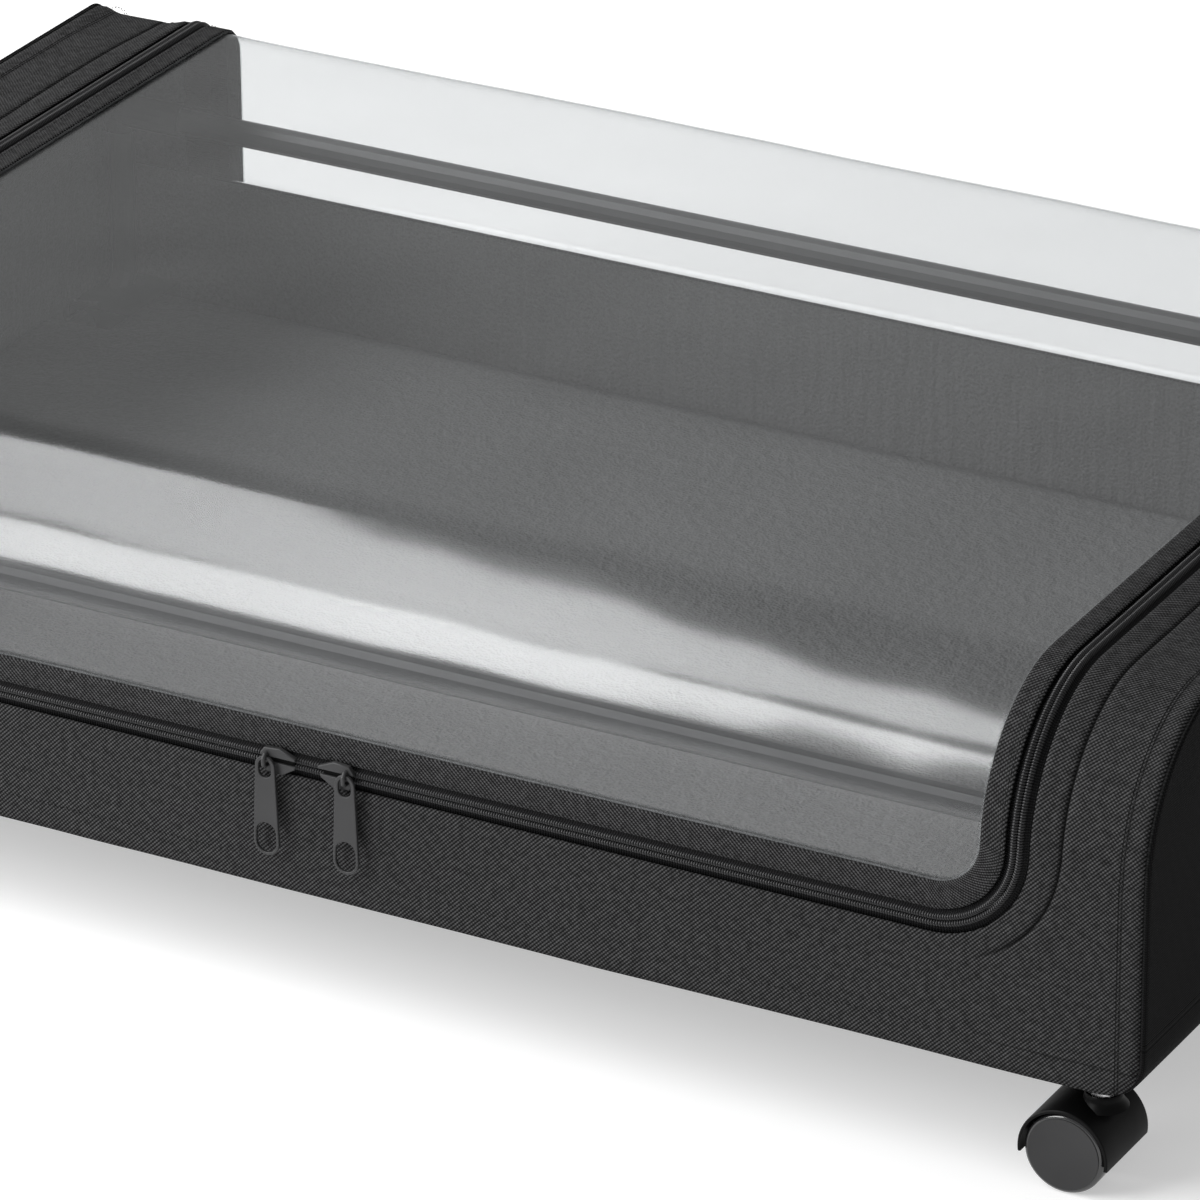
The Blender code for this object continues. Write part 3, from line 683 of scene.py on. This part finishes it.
def board():
    """The stiff floor of the box in its thin cloth cover, cut away at the corner blocks."""
    low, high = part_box("base_board")
    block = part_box("front_right_corner_block")
    notch_x = block[0].x - 0.0005
    notch_y = (high.y - low.y) / 2 - (block[1].y - FRONT) + 0.0005
    mid = (low.y + high.y) / 2

    def marks(*ends):
        return sorted({v for a, b in zip(ends, ends[1:]) for v in even(a, b, 0.008)})

    xs = marks(low.x, -notch_x, notch_x, high.x)
    ys = marks(low.y, mid - notch_y, mid + notch_y, high.y)
    points = []
    for y in ys:
        for x in xs:
            edge = min(x - low.x, high.x - x, y - low.y, high.y - y)
            drop = -0.0007 * (1 - fade(edge, 0.0, 0.003))
            sag = fade(edge, 0, 0.03) * soft(x, y, 0.10, 0.0004)
            points.append(Vector((x, y, high.z - 0.0002 + drop + sag)))
    faces = []
    for f in quads(len(ys), len(xs)):
        centre = sum((points[i] for i in f), Vector()) / 4
        if abs(centre.x) < notch_x or abs(centre.y - mid) < notch_y:
            faces.append(f)
    used = sorted({i for f in faces for i in f})
    renumber = {old: new for new, old in enumerate(used)}
    faces = [tuple(renumber[i] for i in f) for f in faces]
    below = Vector((0, mid, low.z - 1.0))
    o = shaped("board_in_cloth", [points[i] for i in used], faces, None, (lining_material(),), outward=below)
    wall(o, 0.0022)
    link(o, "base", "board", "base_board")


# --- Zipper and cover ------------------------------------------------------------------------


def strip(name, section, marks, material, closed=True):
    """A cross-section of (sideways, outward) pairs carried along the zipper's line."""
    points, cloth = [], []
    for t in marks:
        x, s, u, v = coil_at(t)
        for d, out in section(abs(u)):
            points.append(wrap(x + d * u, s + d * v, out))
            cloth.append((t, d))
    count = len(section(0.0))
    faces = quads(len(marks), count, closed)
    if closed:
        faces += [tuple(range(count)), tuple(range(len(points) - count, len(points)))]
    return shaped(name, points, faces, {"cloth": cloth}, (material,), outward=MIDDLE)


def dome(d, sunk):
    """How far one rounded half of the zipper's coil stands out at d from the middle line."""
    lobe = (d - COIL_HALF / 2) / (COIL_HALF / 2 + 0.0001)
    return COIL_TALL * math.sqrt(max(0.0, 1 - lobe ** 2)) - COIL_SUNK - sunk


def teeth(name, way, material):
    """The coil's own teeth: one rounded ridge a pitch, sitting on the low core that the tape's strip carries."""
    pitch = settings().tooth_pitch
    count = int((PATH - 0.004) / pitch)
    points, cloth, faces = [], [], []
    tall = [dome(d, 0.0) for d in COIL_ACROSS]
    width = pitch * RIDGE_SHARE
    steps = 4
    for k in range(count):
        t = 0.002 + (k + 0.5) * pitch
        start = len(points)
        for d, top in zip(COIL_ACROSS, tall):
            for j in range(steps):
                a = math.pi * j / (steps - 1)
                place = t + width * math.cos(a) + way * 0.0002 * d / COIL_ACROSS[-1]
                x, s, u, v = coil_at(min(PATH, max(0.0, place)))
                out = top - RIDGE_FALL * (1 - math.sin(a))
                points.append(wrap(x + way * d * u, s + way * d * v, out))
                cloth.append((place, d))
        faces += [tuple(start + i for i in f) for f in quads(len(COIL_ACROSS), steps)]
        faces.append(tuple(start + i for i in range(steps)))
    return shaped(name, points, faces, {"cloth": cloth}, (material,), outward=None)


def zipper():
    tape = store("tape", tape_material)
    coil = coat("coil", "zipper_coil", (0.012, 0.012, 0.013), 0.30, depth=0.00001, shine=0.35)
    marks = stations(0.008)
    halves = (
        ("body", 1, "base", BODY_TAPE, "body_zipper_half"),
        ("cover", -1, "cover", COVER_TAPE, "cover_zipper_half"),
    )
    for word, way, body, reach_out, node in halves:

        def section(_, way=way, reach_out=reach_out):
            outer = [(way * 0.00015, TAPE_BACK), (way * reach_out, TAPE_BACK), (way * reach_out, TAPE_FACE)]
            core = [(way * d, dome(d, 0.0004)) for d in (0.0029, 0.0023, 0.0015, 0.0008, 0.00015)]
            return [*outer, (way * 0.0036, TAPE_FACE), *core]

        tape_piece = link(strip(f"{word}_zipper_tape", section, marks, tape), body, "zipper_tape", node)
        teeth_piece = link(teeth(f"{word}_zipper_teeth", way, coil), body, "zipper_tape")


def border():
    step = 0.006
    marks = stations(step)
    columns = 9

    def section(side):
        inner = WINDOW_FRONT + (WINDOW_SIDE - WINDOW_FRONT) * side
        rows = []
        for i in range(columns):
            f = i / (columns - 1)
            d = BORDER_EDGE + (inner - BORDER_EDGE) * (0.5 - 0.5 * math.cos(math.pi * f))
            edge = min(f, 1 - f) * (inner - BORDER_EDGE)
            rows.append((-d, -0.0007 * (1 - fade(edge, 0, 0.0012)) + 0.0003))
        return rows

    o = strip("border_cloth", section, marks, plain_twill(), closed=False)
    o.data.materials.append(lining_material())
    wall(o, 0.0015, lined=True)
    link(o, "cover", "black_cloth", "cover_border")
    spots = []
    for t in even(0.004, PATH - 0.004, settings().stitch_pitch):
        x, s, u, v = coil_at(t)
        spots.append(on_cloth(x - 0.0072 * u, s - 0.0072 * v, -v, u, 0.0004))
    threads = stitches("border_threads", spots, "cover")


def window_rim():
    """The folded edge of the clear sheet beside its cloth border."""

    def section(side):
        inner = WINDOW_FRONT + (WINDOW_SIDE - WINDOW_FRONT) * side
        far, near = -inner - 0.0008, -inner + 0.0002
        return [(far, -0.0010), (near, -0.0010), (near, -0.0004), (far, -0.0005)]

    o = strip("window_edge", section, stations(0.006), store("rim", rim_material))
    link(o, "cover", "clear_pvc")


def window():
    half = COIL_SIDE - WINDOW_TUCK
    r = COIL_CORNER - WINDOW_TUCK
    low = COIL_LOW + COIL_CORNER
    rows = []
    for i in range(14):
        a = math.pi / 2 * i / 14
        rows.append((low - r * math.cos(a), half - r + r * math.sin(a)))
    marks = [low] + even(low, S_TOP, 0.004)[1:] + even(S_TOP, S_REAR_BEND, 0.008)[1:]
    marks += even(S_REAR_BEND, S_REAR, 0.0018)[1:] + even(S_REAR, COVER_S - CLEARANCE, 0.006)[1:]
    rows += [(s, half) for s in marks]
    count = 90
    points, cloth = [], []
    for s, w in rows:
        for j in range(count + 1):
            x = -w + 2 * w * j / count
            edge = min(w - abs(x), s - rows[0][0] + 0.002, COVER_S - s)
            ripple = fade(edge, 0.0, 0.05) * (soft(x, s, 0.16, 0.0012) + soft(x, s + 7, 0.05, 0.00035))
            points.append(wrap(x, s, -0.0018 + ripple))
            cloth.append((x, s))
    clear = store("clear", clear_material)
    faces = quads(len(rows), count + 1)
    o = shaped("window_sheet", points, faces, {"cloth": cloth}, (clear,), outward=MIDDLE)
    wall(o, 0.0004)
    link(o, "cover", "clear_pvc", "clear_window")
    window_rim()


# --- Sliders and casters ---------------------------------------------------------------------


def ring(cx, cy, radius, start, end, steps):
    turns = [math.radians(start + (end - start) * i / steps) for i in range(steps + 1)]
    return [(cx + radius * math.cos(a), cy + radius * math.sin(a)) for a in turns]


def to_mesh(name, data, place, material):
    shape = bpy.data.objects.new(f"{name}_line", data)
    bpy.context.scene.collection.objects.link(shape)
    seen = shape.evaluated_get(bpy.context.evaluated_depsgraph_get())
    mesh = bpy.data.meshes.new_from_object(seen)
    bpy.data.objects.remove(shape)
    mesh.transform(place)
    mesh.name = name
    mesh.materials.clear()
    mesh.materials.append(material)
    mesh.shade_smooth()
    mesh.set_sharp_from_angle(angle=math.radians(38))
    return mesh


def cut_plate(name, loops, thickness, soften, place, material):
    """A flat outline, with holes, made thick and given rounded edges."""
    data = bpy.data.curves.new(name, "CURVE")
    data.dimensions = "2D"
    data.fill_mode = "BOTH"
    data.extrude = thickness / 2 - soften
    data.bevel_depth = soften
    data.bevel_resolution = 2
    data.offset = -soften
    for points in loops:
        spline = data.splines.new("POLY")
        spline.points.add(len(points) - 1)
        for spot, (a, b) in zip(spline.points, points):
            spot.co = (a, b, 0.0, 1.0)
        spline.use_cyclic_u = True
    return to_mesh(name, data, place, material)


def round_bar(name, path, radius, material):
    data = bpy.data.curves.new(name, "CURVE")
    data.dimensions = "3D"
    data.fill_mode = "FULL"
    data.bevel_depth = radius
    data.bevel_resolution = 4
    data.use_fill_caps = True
    spline = data.splines.new("POLY")
    spline.points.add(len(path) - 1)
    for spot, p in zip(spline.points, path):
        spot.co = (*p, 1.0)
    return to_mesh(name, data, Matrix.Identity(4), material)


def joined(name, meshes):
    points, faces, finishes = [], [], []
    for mesh in meshes:
        start = len(points)
        points += [v.co.copy() for v in mesh.vertices]
        faces += [tuple(start + i for i in p.vertices) for p in mesh.polygons]
        finishes += [mesh.materials[0]] * len(mesh.polygons)
    kinds = list(dict.fromkeys(finishes))
    o = shaped(name, points, faces, None, kinds)
    o.data.polygons.foreach_set("material_index", [kinds.index(f) for f in finishes])
    o.data.set_sharp_from_angle(angle=math.radians(38))
    return o


def slider(word, way):
    metal = coat("metal", "painted_metal", settings().slider_colour, 0.46, 0.35, depth=0.00001)
    # Painted shade: the heart plate behind the slot between roof and shoulder is near-black, so the slot reads as
    # shaded.
    hidden = coat("hidden", "slider_throat", (0.003, 0.003, 0.003), 0.6, depth=0.00001, shine=0.05)
    joint = JOINTS[f"{word}_tab_swing"]
    pivot = Vector(joint["pos_m"])
    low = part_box(f"{word}_slider")[0]
    face = FRONT - 0.0010
    parts = (
        ("roof", 0.0025, metal, [
            (-0.0032, 0.0032), (-0.0012, 0.0060), (0.0062, 0.0067),
            (0.0138, 0.0034), (0.0140, 0.0021), (-0.0034, 0.0021),
        ]),
        ("shoulder", 0.0017, metal, [
            (-0.0034, -0.0006), (0.0136, -0.0006), (0.0130, -0.0022),
            (0.0068, -0.0060), (-0.0010, -0.0054), (-0.0032, -0.0022),
        ]),
        ("heart", 0.0006, hidden, [
            (-0.0026, 0.0040), (0.0100, 0.0040), (0.0128, 0.0010), (0.0100, -0.0030), (-0.0026, -0.0030),
        ]),
    )
    made = []
    for title, thick, material, shape in parts:
        outline = [(way * x, z) for x, z in shape]
        centre = Vector((pivot.x, face - thick / 2, pivot.z + 0.0007))
        place = Matrix.Translation(centre) @ UPRIGHT
        made.append(cut_plate(f"{word}_{title}", [outline], thick, min(0.0005, thick / 3), place, material))
    crown = [
        Vector((pivot.x, face - 0.0008, pivot.z - 0.0012)),
        Vector((pivot.x, low.y + 0.0026, pivot.z - 0.0012)),
        Vector((pivot.x, low.y + 0.0013, pivot.z - 0.0002)),
        Vector((pivot.x, low.y + 0.0013, pivot.z + 0.0026)),
        Vector((pivot.x, low.y + 0.0026, pivot.z + 0.0042)),
        Vector((pivot.x, face - 0.0008, pivot.z + 0.0046)),
    ]
    o = joined(f"{word}_slider_shell", [*made, round_bar(f"{word}_crown", crown, 0.0010, metal)])
    link(o, f"{word}_slider_body", "slider_metal", f"{word}_slider")
    body = ring(0, -0.0014, 0.0048, 0, 180, 18) + ring(0, -0.0372, 0.0062, 180, 360, 18)
    eye = ring(0, -0.0014, 0.0031, 0, 180, 12) + ring(0, -0.0036, 0.0031, 180, 360, 12)
    slot = ring(0, -0.0328, 0.0048, 0, 180, 12) + ring(0, -0.0372, 0.0049, 180, 360, 12)
    place = Matrix.Translation(pivot) @ UPRIGHT
    tab = cut_plate(f"{word}_tab", [body, eye, slot], 0.0016, 0.0004, place, metal)
    t = bpy.data.objects.new(f"{word}_tab_plate", tab)
    link(t, f"{word}_tab_body", "slider_metal", f"{word}_pull_tab")


def turned(name, profile, centre, way, material, steps=64):
    """A profile of (radius, distance) turned about a level line through the centre."""
    points, faces = [], []
    for r, h in profile:
        for i in range(steps):
            a = 2 * math.pi * i / steps
            points.append(centre + Vector((r * math.cos(a), way * h, r * math.sin(a))))
    faces = quads(len(profile), steps, closed=True)
    faces += [tuple(range(steps)), tuple(range(len(points) - steps, len(points)))]
    o = shaped(name, points, faces, None, (material,), outward=centre)
    o.data.set_sharp_from_angle(angle=math.radians(32))
    return o


def wheel(name, body, node, centre, way):
    r = WHEEL_RADIUS
    plastic = coat("wheel", "wheel_plastic", settings().wheel_colour, 0.5, scale=2200.0)
    profile = [
        (0.0040, 0.0189), (r - 0.0028, 0.0189),
        (r - 0.0022, 0.0190), (r - 0.0019, 0.0190), (r - 0.0018, 0.0186),
        (r - 0.0015, 0.0186), (r - 0.0005, 0.0180), (r, 0.0171),
        (r, 0.0070), (r - 0.0005, 0.0060), (r - 0.0014, 0.0056),
        (0.0024, 0.0056),
    ]
    o = turned(name, profile, centre, way, plastic)
    tread = coat("tread", "wheel_tread", (0.020, 0.020, 0.021), 0.16, depth=0.000005, shine=0.8)
    o.data.materials.append(tread)
    for face in o.data.polygons:
        out = Vector((face.center.x - centre.x, 0.0, face.center.z - centre.z)).length
        face.material_index = int(out > r - 0.00185)
    link(o, body, "wheel_plastic", node)


def hood(name, body, node, centre, stem):
    """A barrel over both wheels with a rounded rim, a web between them and a flared socket on top."""
    plastic = coat("hood", "hood_plastic", settings().hood_colour, 0.42, depth=0.00003, shine=0.09)
    half = 0.0198
    ys = [-half, -half + 0.0004, -half + 0.0013, -0.010, 0.0, 0.010, half - 0.0013, half - 0.0004, half]
    outer = [0.0200, 0.0204, 0.0205, 0.0205, 0.0205, 0.0205, 0.0205, 0.0204, 0.0200]
    steps = 48
    loop = list(zip(ys, outer)) + [(y, 0.0190) for y in reversed(ys)]
    points = []
    for i in range(steps + 1):
        a = math.radians(-8 + 196 * i / steps)
        for y, r in loop:
            points.append(centre + Vector((r * math.cos(a), y, r * math.sin(a))))
    faces = quads(steps + 1, len(loop), closed=True)
    faces += [tuple(range(len(loop))), tuple(range(len(points) - len(loop), len(points)))]
    shell = shaped(f"{name}_shell", points, faces, None, (plastic,)).data
    arch = ring(0, 0, 0.0192, -8, 188, 40)
    web = cut_plate(f"{name}_web", [arch], 0.0100, 0.0004, Matrix.Translation(centre) @ UPRIGHT, plastic)
    flare = [
        (0.0108, 0.0172), (0.0094, 0.0190), (0.0085, 0.0203),
        (0.0081, 0.0214), (0.0080, 0.0226), (0.0077, 0.0232),
        (0.0071, 0.0232), (0.0069, 0.0228), (0.0069, 0.0215), (0.0050, 0.0213), (0.0050, 0.0172),
    ]
    points = []
    for i in range(40):
        a = 2 * math.pi * i / 40
        for r, h in flare:
            points.append(Vector((stem.x + r * math.cos(a), stem.y + r * math.sin(a), centre.z + h)))
    socket = shaped(f"{name}_socket", points, around(40, len(flare)), None, (plastic,)).data
    o = joined(name, [shell, web, socket])
    link(o, body, "black_plastic", node)


def casters():
    for corner, _, sy in CORNERS:
        stem = Vector(JOINTS[f"{corner}_swivel"]["pos_m"])
        centre = Vector(JOINTS[f"{corner}_outer_wheel_spin"]["pos_m"])
        hood(f"{corner}_hood", f"{corner}_caster", f"{corner}_caster_hood", centre, stem)
        for word, way in (("outer", sy), ("inner", -sy)):
            node = f"{corner}_{word}_wheel"
            wheel(f"{node}_turned", f"{node}_body", node, centre, way)


def finish_frame():
    s = settings()
    tube = coat("tube", "grey_tube_paint", s.tube_colour, 0.36, 0.25, scale=700.0, depth=0.00002, wear=0.10)
    block = coat("block", "black_moulding", s.hood_colour, 0.5, depth=0.00005)
    bright = (0.60, 0.60, 0.61)
    steel = coat("steel", "bright_steel", bright, 0.24, 1.0, scale=2600.0, depth=0.000006, wear=0.06)
    made = {"grey_tube": tube, "black_plastic": block, "bright_steel": steel}
    slots = {row["node"]: row["material_slot"] for row in frame["record"]["subparts"]}
    for name, o in NODES.items():
        if slots[name] in made:
            for place in o.material_slots:
                place.material = made[slots[name]]


# --- Stage -----------------------------------------------------------------------------------


def lamp(name, spot, aim, size, power, shape="RECTANGLE"):
    data = bpy.data.lights.new(name, "AREA")
    data.shape = shape
    data.size, data.size_y = size
    data.energy = power
    o = bpy.data.objects.new(name, data)
    o.location = spot
    o.rotation_euler = (Vector(aim) - Vector(spot)).to_track_quat("-Z", "Y").to_euler()
    bpy.context.scene.collection.objects.link(o)


def camera():
    s = settings()
    az, el, roll = math.radians(s.azimuth), math.radians(s.elevation), math.radians(s.roll)
    back = Vector((math.sin(az) * math.cos(el), -math.cos(az) * math.cos(el), math.sin(el)))
    right = Vector((math.cos(az), math.sin(az), 0.0))
    up = back.cross(right)
    side = math.cos(roll) * right + math.sin(roll) * up
    top = -math.sin(roll) * right + math.cos(roll) * up
    data = bpy.data.cameras.new("camera")
    data.lens = s.lens
    data.sensor_width = 36.0
    o = bpy.data.objects.new("camera", data)
    target = Vector((0.0113, (FRONT + BACK) / 2, LOW + 0.034))
    place = Matrix((side, top, back)).transposed().to_4x4()
    o.matrix_world = Matrix.Translation(target + s.distance * back) @ place
    bpy.context.scene.collection.objects.link(o)
    bpy.context.scene.camera = o


def stage():
    scene = bpy.context.scene
    scene.view_settings.view_transform = "Standard"
    camera()
    points = [(-9, -9, 0), (9, -9, 0), (9, 9, 0), (-9, 9, 0)]
    floor_finish = grained("pale_floor", (0.66, 0.66, 0.66), 0.85, scale=20.0, depth=0.00001, wear=0.01)
    shader = floor_finish.node_tree.nodes["Principled BSDF"]
    shader.inputs["Emission Color"].default_value = (1.0, 1.0, 1.0, 1.0)
    shader.inputs["Emission Strength"].default_value = settings().floor_glow
    floor = shaped("floor", points, [(0, 1, 2, 3)], None, (floor_finish,))
    scene.collection.objects.link(floor)
    world = bpy.data.worlds.new("studio")
    scene.world = world
    world.use_nodes = True
    backing = world.node_tree.nodes["Background"]
    backing.inputs[0].default_value = (1.0, 1.0, 1.0, 1.0)
    backing.inputs[1].default_value = settings().sky
    s = settings()
    lamp("overhead", (-1.25, -0.55, 2.1), (-0.2, -0.2, 0.1), (2.9, 1.0), s.overhead_power)
    lamp("key", (-1.9, -2.6, 1.7), (0, 0, 0.1), (1.8, 1.5), s.key_power)
    lamp("side", (-2.6, -0.7, 0.9), (0, 0, 0.1), (0.7, 1.2), s.key_power * 0.4)


# --- Settings, operators and panel -----------------------------------------------------------


COLOUR = {"subtype": "COLOR", "size": 3, "min": 0, "max": 1}
POWER = {"min": 0, "subtype": "POWER", "unit": "POWER"}


class BoxSettings(bpy.types.PropertyGroup):
    cloth_colour: FloatVectorProperty(
        name="Cloth", description="Middle tone of the black cloth", **COLOUR,
        default=(0.0190, 0.0190, 0.0194),
    )
    # Painted shade: the ends' colour is set about four times darker than the wrap's cloth, for the shade on faces
    # turned from the lamps.
    shaded_end_colour: FloatVectorProperty(
        name="End cloth", description="Middle tone of the two ends", **COLOUR,
        default=(0.0050, 0.0050, 0.0052),
    )
    lining_colour: FloatVectorProperty(
        name="Lining", description="Inner side of the cloth", **COLOUR,
        default=(0.085, 0.085, 0.086),
    )
    tube_colour: FloatVectorProperty(
        name="Tube", description="Paint on the frame's tubes", **COLOUR,
        default=(0.050, 0.050, 0.052),
    )
    hood_colour: FloatVectorProperty(
        name="Hood", description="Plastic of the caster hoods and blocks", **COLOUR,
        default=(0.0035, 0.0035, 0.0036),
    )
    wheel_colour: FloatVectorProperty(
        name="Wheel", description="Plastic of the wheels", **COLOUR,
        default=(0.032, 0.032, 0.033),
    )
    slider_colour: FloatVectorProperty(
        name="Slider", description="Paint on the sliders and pull tabs", **COLOUR,
        default=(0.044, 0.044, 0.045),
    )
    rib_pitch: FloatProperty(
        name="Rib pitch", description="Distance between the cloth's diagonal threads", default=0.00139,
        min=0.0005, max=0.01, subtype="DISTANCE", unit="LENGTH",
    )
    seam_offset: FloatProperty(
        name="Seam offset", description="From the zipper to the seam that runs beside it", default=0.0196,
        min=0.005, max=0.05, subtype="DISTANCE", unit="LENGTH",
    )
    hem_width: FloatProperty(
        name="Hem", description="From the box's end to the double line of stitching", default=0.0105,
        min=0.002, max=0.03, subtype="DISTANCE", unit="LENGTH",
    )
    stitch_pitch: FloatProperty(
        name="Stitch pitch", description="Distance between the stitches", default=0.0031,
        min=0.001, max=0.02, subtype="DISTANCE", unit="LENGTH",
    )
    thread_colour: FloatVectorProperty(
        name="Thread", description="Sewing thread", **COLOUR,
        default=(0.012, 0.012, 0.0125),
    )
    tooth_pitch: FloatProperty(
        name="Tooth pitch", description="Distance between the zipper's teeth", default=0.0012,
        min=0.0008, max=0.01, subtype="DISTANCE", unit="LENGTH",
    )
    cover_haze: FloatProperty(
        name="Cover haze", description="How white the clear cover is where it faces you",
        default=0.035, min=0, max=1,
    )
    azimuth: FloatProperty(
        name="Azimuth", description="Camera turn about the box, in degrees", default=28.839,
    )
    elevation: FloatProperty(
        name="Elevation", description="Camera height above level, in degrees", default=25.398,
    )
    roll: FloatProperty(name="Roll", description="Camera roll, in degrees", default=-0.303)
    lens: FloatProperty(name="Lens", description="Focal length", default=247.84, subtype="DISTANCE_CAMERA")
    distance: FloatProperty(
        name="Distance", description="Camera to its aim", default=3.7, subtype="DISTANCE", unit="LENGTH",
    )
    sky: FloatProperty(name="Sky", description="Strength of the light from all round", default=0.35, min=0)
    floor_glow: FloatProperty(
        name="Floor", description="How far the pale floor lights itself", default=0.42, min=0,
    )
    overhead_power: FloatProperty(
        name="Overhead", description="Long lamp above the box", default=48.0, **POWER,
    )
    key_power: FloatProperty(
        name="Key", description="Lamp in front on the left", default=76.0, **POWER,
    )


def both_ends():
    for word, side in SIDES:
        end_cloth(word, side)


def both_sliders():
    for word, side in SIDES:
        slider(word, -side)


class UNDERBED_OT_stage(bpy.types.Operator):
    """Make the camera, floor and lamps"""

    bl_idname = "under_bed_box.stage"
    bl_label = "Stage"

    def execute(self, context):
        stage()
        return {"FINISHED"}


class UNDERBED_OT_wrap(bpy.types.Operator):
    """Sew the front, top strips and back as one cloth"""

    bl_idname = "under_bed_box.wrap"
    bl_label = "Cloth wrap"

    def execute(self, context):
        cloth_wrap()
        return {"FINISHED"}


class UNDERBED_OT_ends(bpy.types.Operator):
    """Sew the two ends with their rounded feet"""

    bl_idname = "under_bed_box.ends"
    bl_label = "End cloths"

    def execute(self, context):
        both_ends()
        return {"FINISHED"}


class UNDERBED_OT_bottom(bpy.types.Operator):
    """Sew the cloth under the box"""

    bl_idname = "under_bed_box.bottom"
    bl_label = "Bottom cloth"

    def execute(self, context):
        bottom_cloth()
        return {"FINISHED"}


class UNDERBED_OT_board(bpy.types.Operator):
    """Lay the covered board in the box"""

    bl_idname = "under_bed_box.board"
    bl_label = "Floor board"

    def execute(self, context):
        board()
        return {"FINISHED"}


class UNDERBED_OT_zipper(bpy.types.Operator):
    """Make both tapes and their teeth"""

    bl_idname = "under_bed_box.zipper"
    bl_label = "Zipper"

    def execute(self, context):
        zipper()
        return {"FINISHED"}


class UNDERBED_OT_border(bpy.types.Operator):
    """Sew the cloth border of the cover"""

    bl_idname = "under_bed_box.border"
    bl_label = "Cover border"

    def execute(self, context):
        border()
        return {"FINISHED"}


class UNDERBED_OT_window(bpy.types.Operator):
    """Make the clear sheet of the cover"""

    bl_idname = "under_bed_box.window"
    bl_label = "Window"

    def execute(self, context):
        window()
        return {"FINISHED"}


class UNDERBED_OT_sliders(bpy.types.Operator):
    """Make the two sliders and their pull tabs"""

    bl_idname = "under_bed_box.sliders"
    bl_label = "Sliders"

    def execute(self, context):
        both_sliders()
        return {"FINISHED"}


class UNDERBED_OT_casters(bpy.types.Operator):
    """Make the hoods and wheels"""

    bl_idname = "under_bed_box.casters"
    bl_label = "Casters"

    def execute(self, context):
        casters()
        return {"FINISHED"}


class UNDERBED_OT_frame(bpy.types.Operator):
    """Paint the tubes, joints and stems"""

    bl_idname = "under_bed_box.frame"
    bl_label = "Frame finish"

    def execute(self, context):
        finish_frame()
        return {"FINISHED"}


OPERATORS = (
    UNDERBED_OT_stage,
    UNDERBED_OT_wrap,
    UNDERBED_OT_ends,
    UNDERBED_OT_bottom,
    UNDERBED_OT_board,
    UNDERBED_OT_zipper,
    UNDERBED_OT_border,
    UNDERBED_OT_window,
    UNDERBED_OT_sliders,
    UNDERBED_OT_casters,
    UNDERBED_OT_frame,
)


class UNDERBED_PT_panel(bpy.types.Panel):
    """Lists the pieces and their settings"""

    bl_idname = "UNDERBED_PT_panel"
    bl_label = "Under-bed box"
    bl_space_type = "VIEW_3D"
    bl_region_type = "UI"
    bl_category = "Under-bed box"

    def draw(self, context):
        for cls in OPERATORS:
            self.layout.operator(cls.bl_idname)
        for key in BoxSettings.__annotations__:
            self.layout.prop(settings(), key)


CLASSES = (BoxSettings, *OPERATORS, UNDERBED_PT_panel)


def register():
    for cls in CLASSES:
        bpy.utils.register_class(cls)
    bpy.types.Scene.under_bed_box = PointerProperty(type=BoxSettings)


def unregister():
    del bpy.types.Scene.under_bed_box
    for cls in reversed(CLASSES):
        bpy.utils.unregister_class(cls)


def main():
    register()
    for cls in OPERATORS:
        word = cls.bl_idname.split(".")[1]
        getattr(bpy.ops.under_bed_box, word)()


if __name__ == "__main__":
    main()
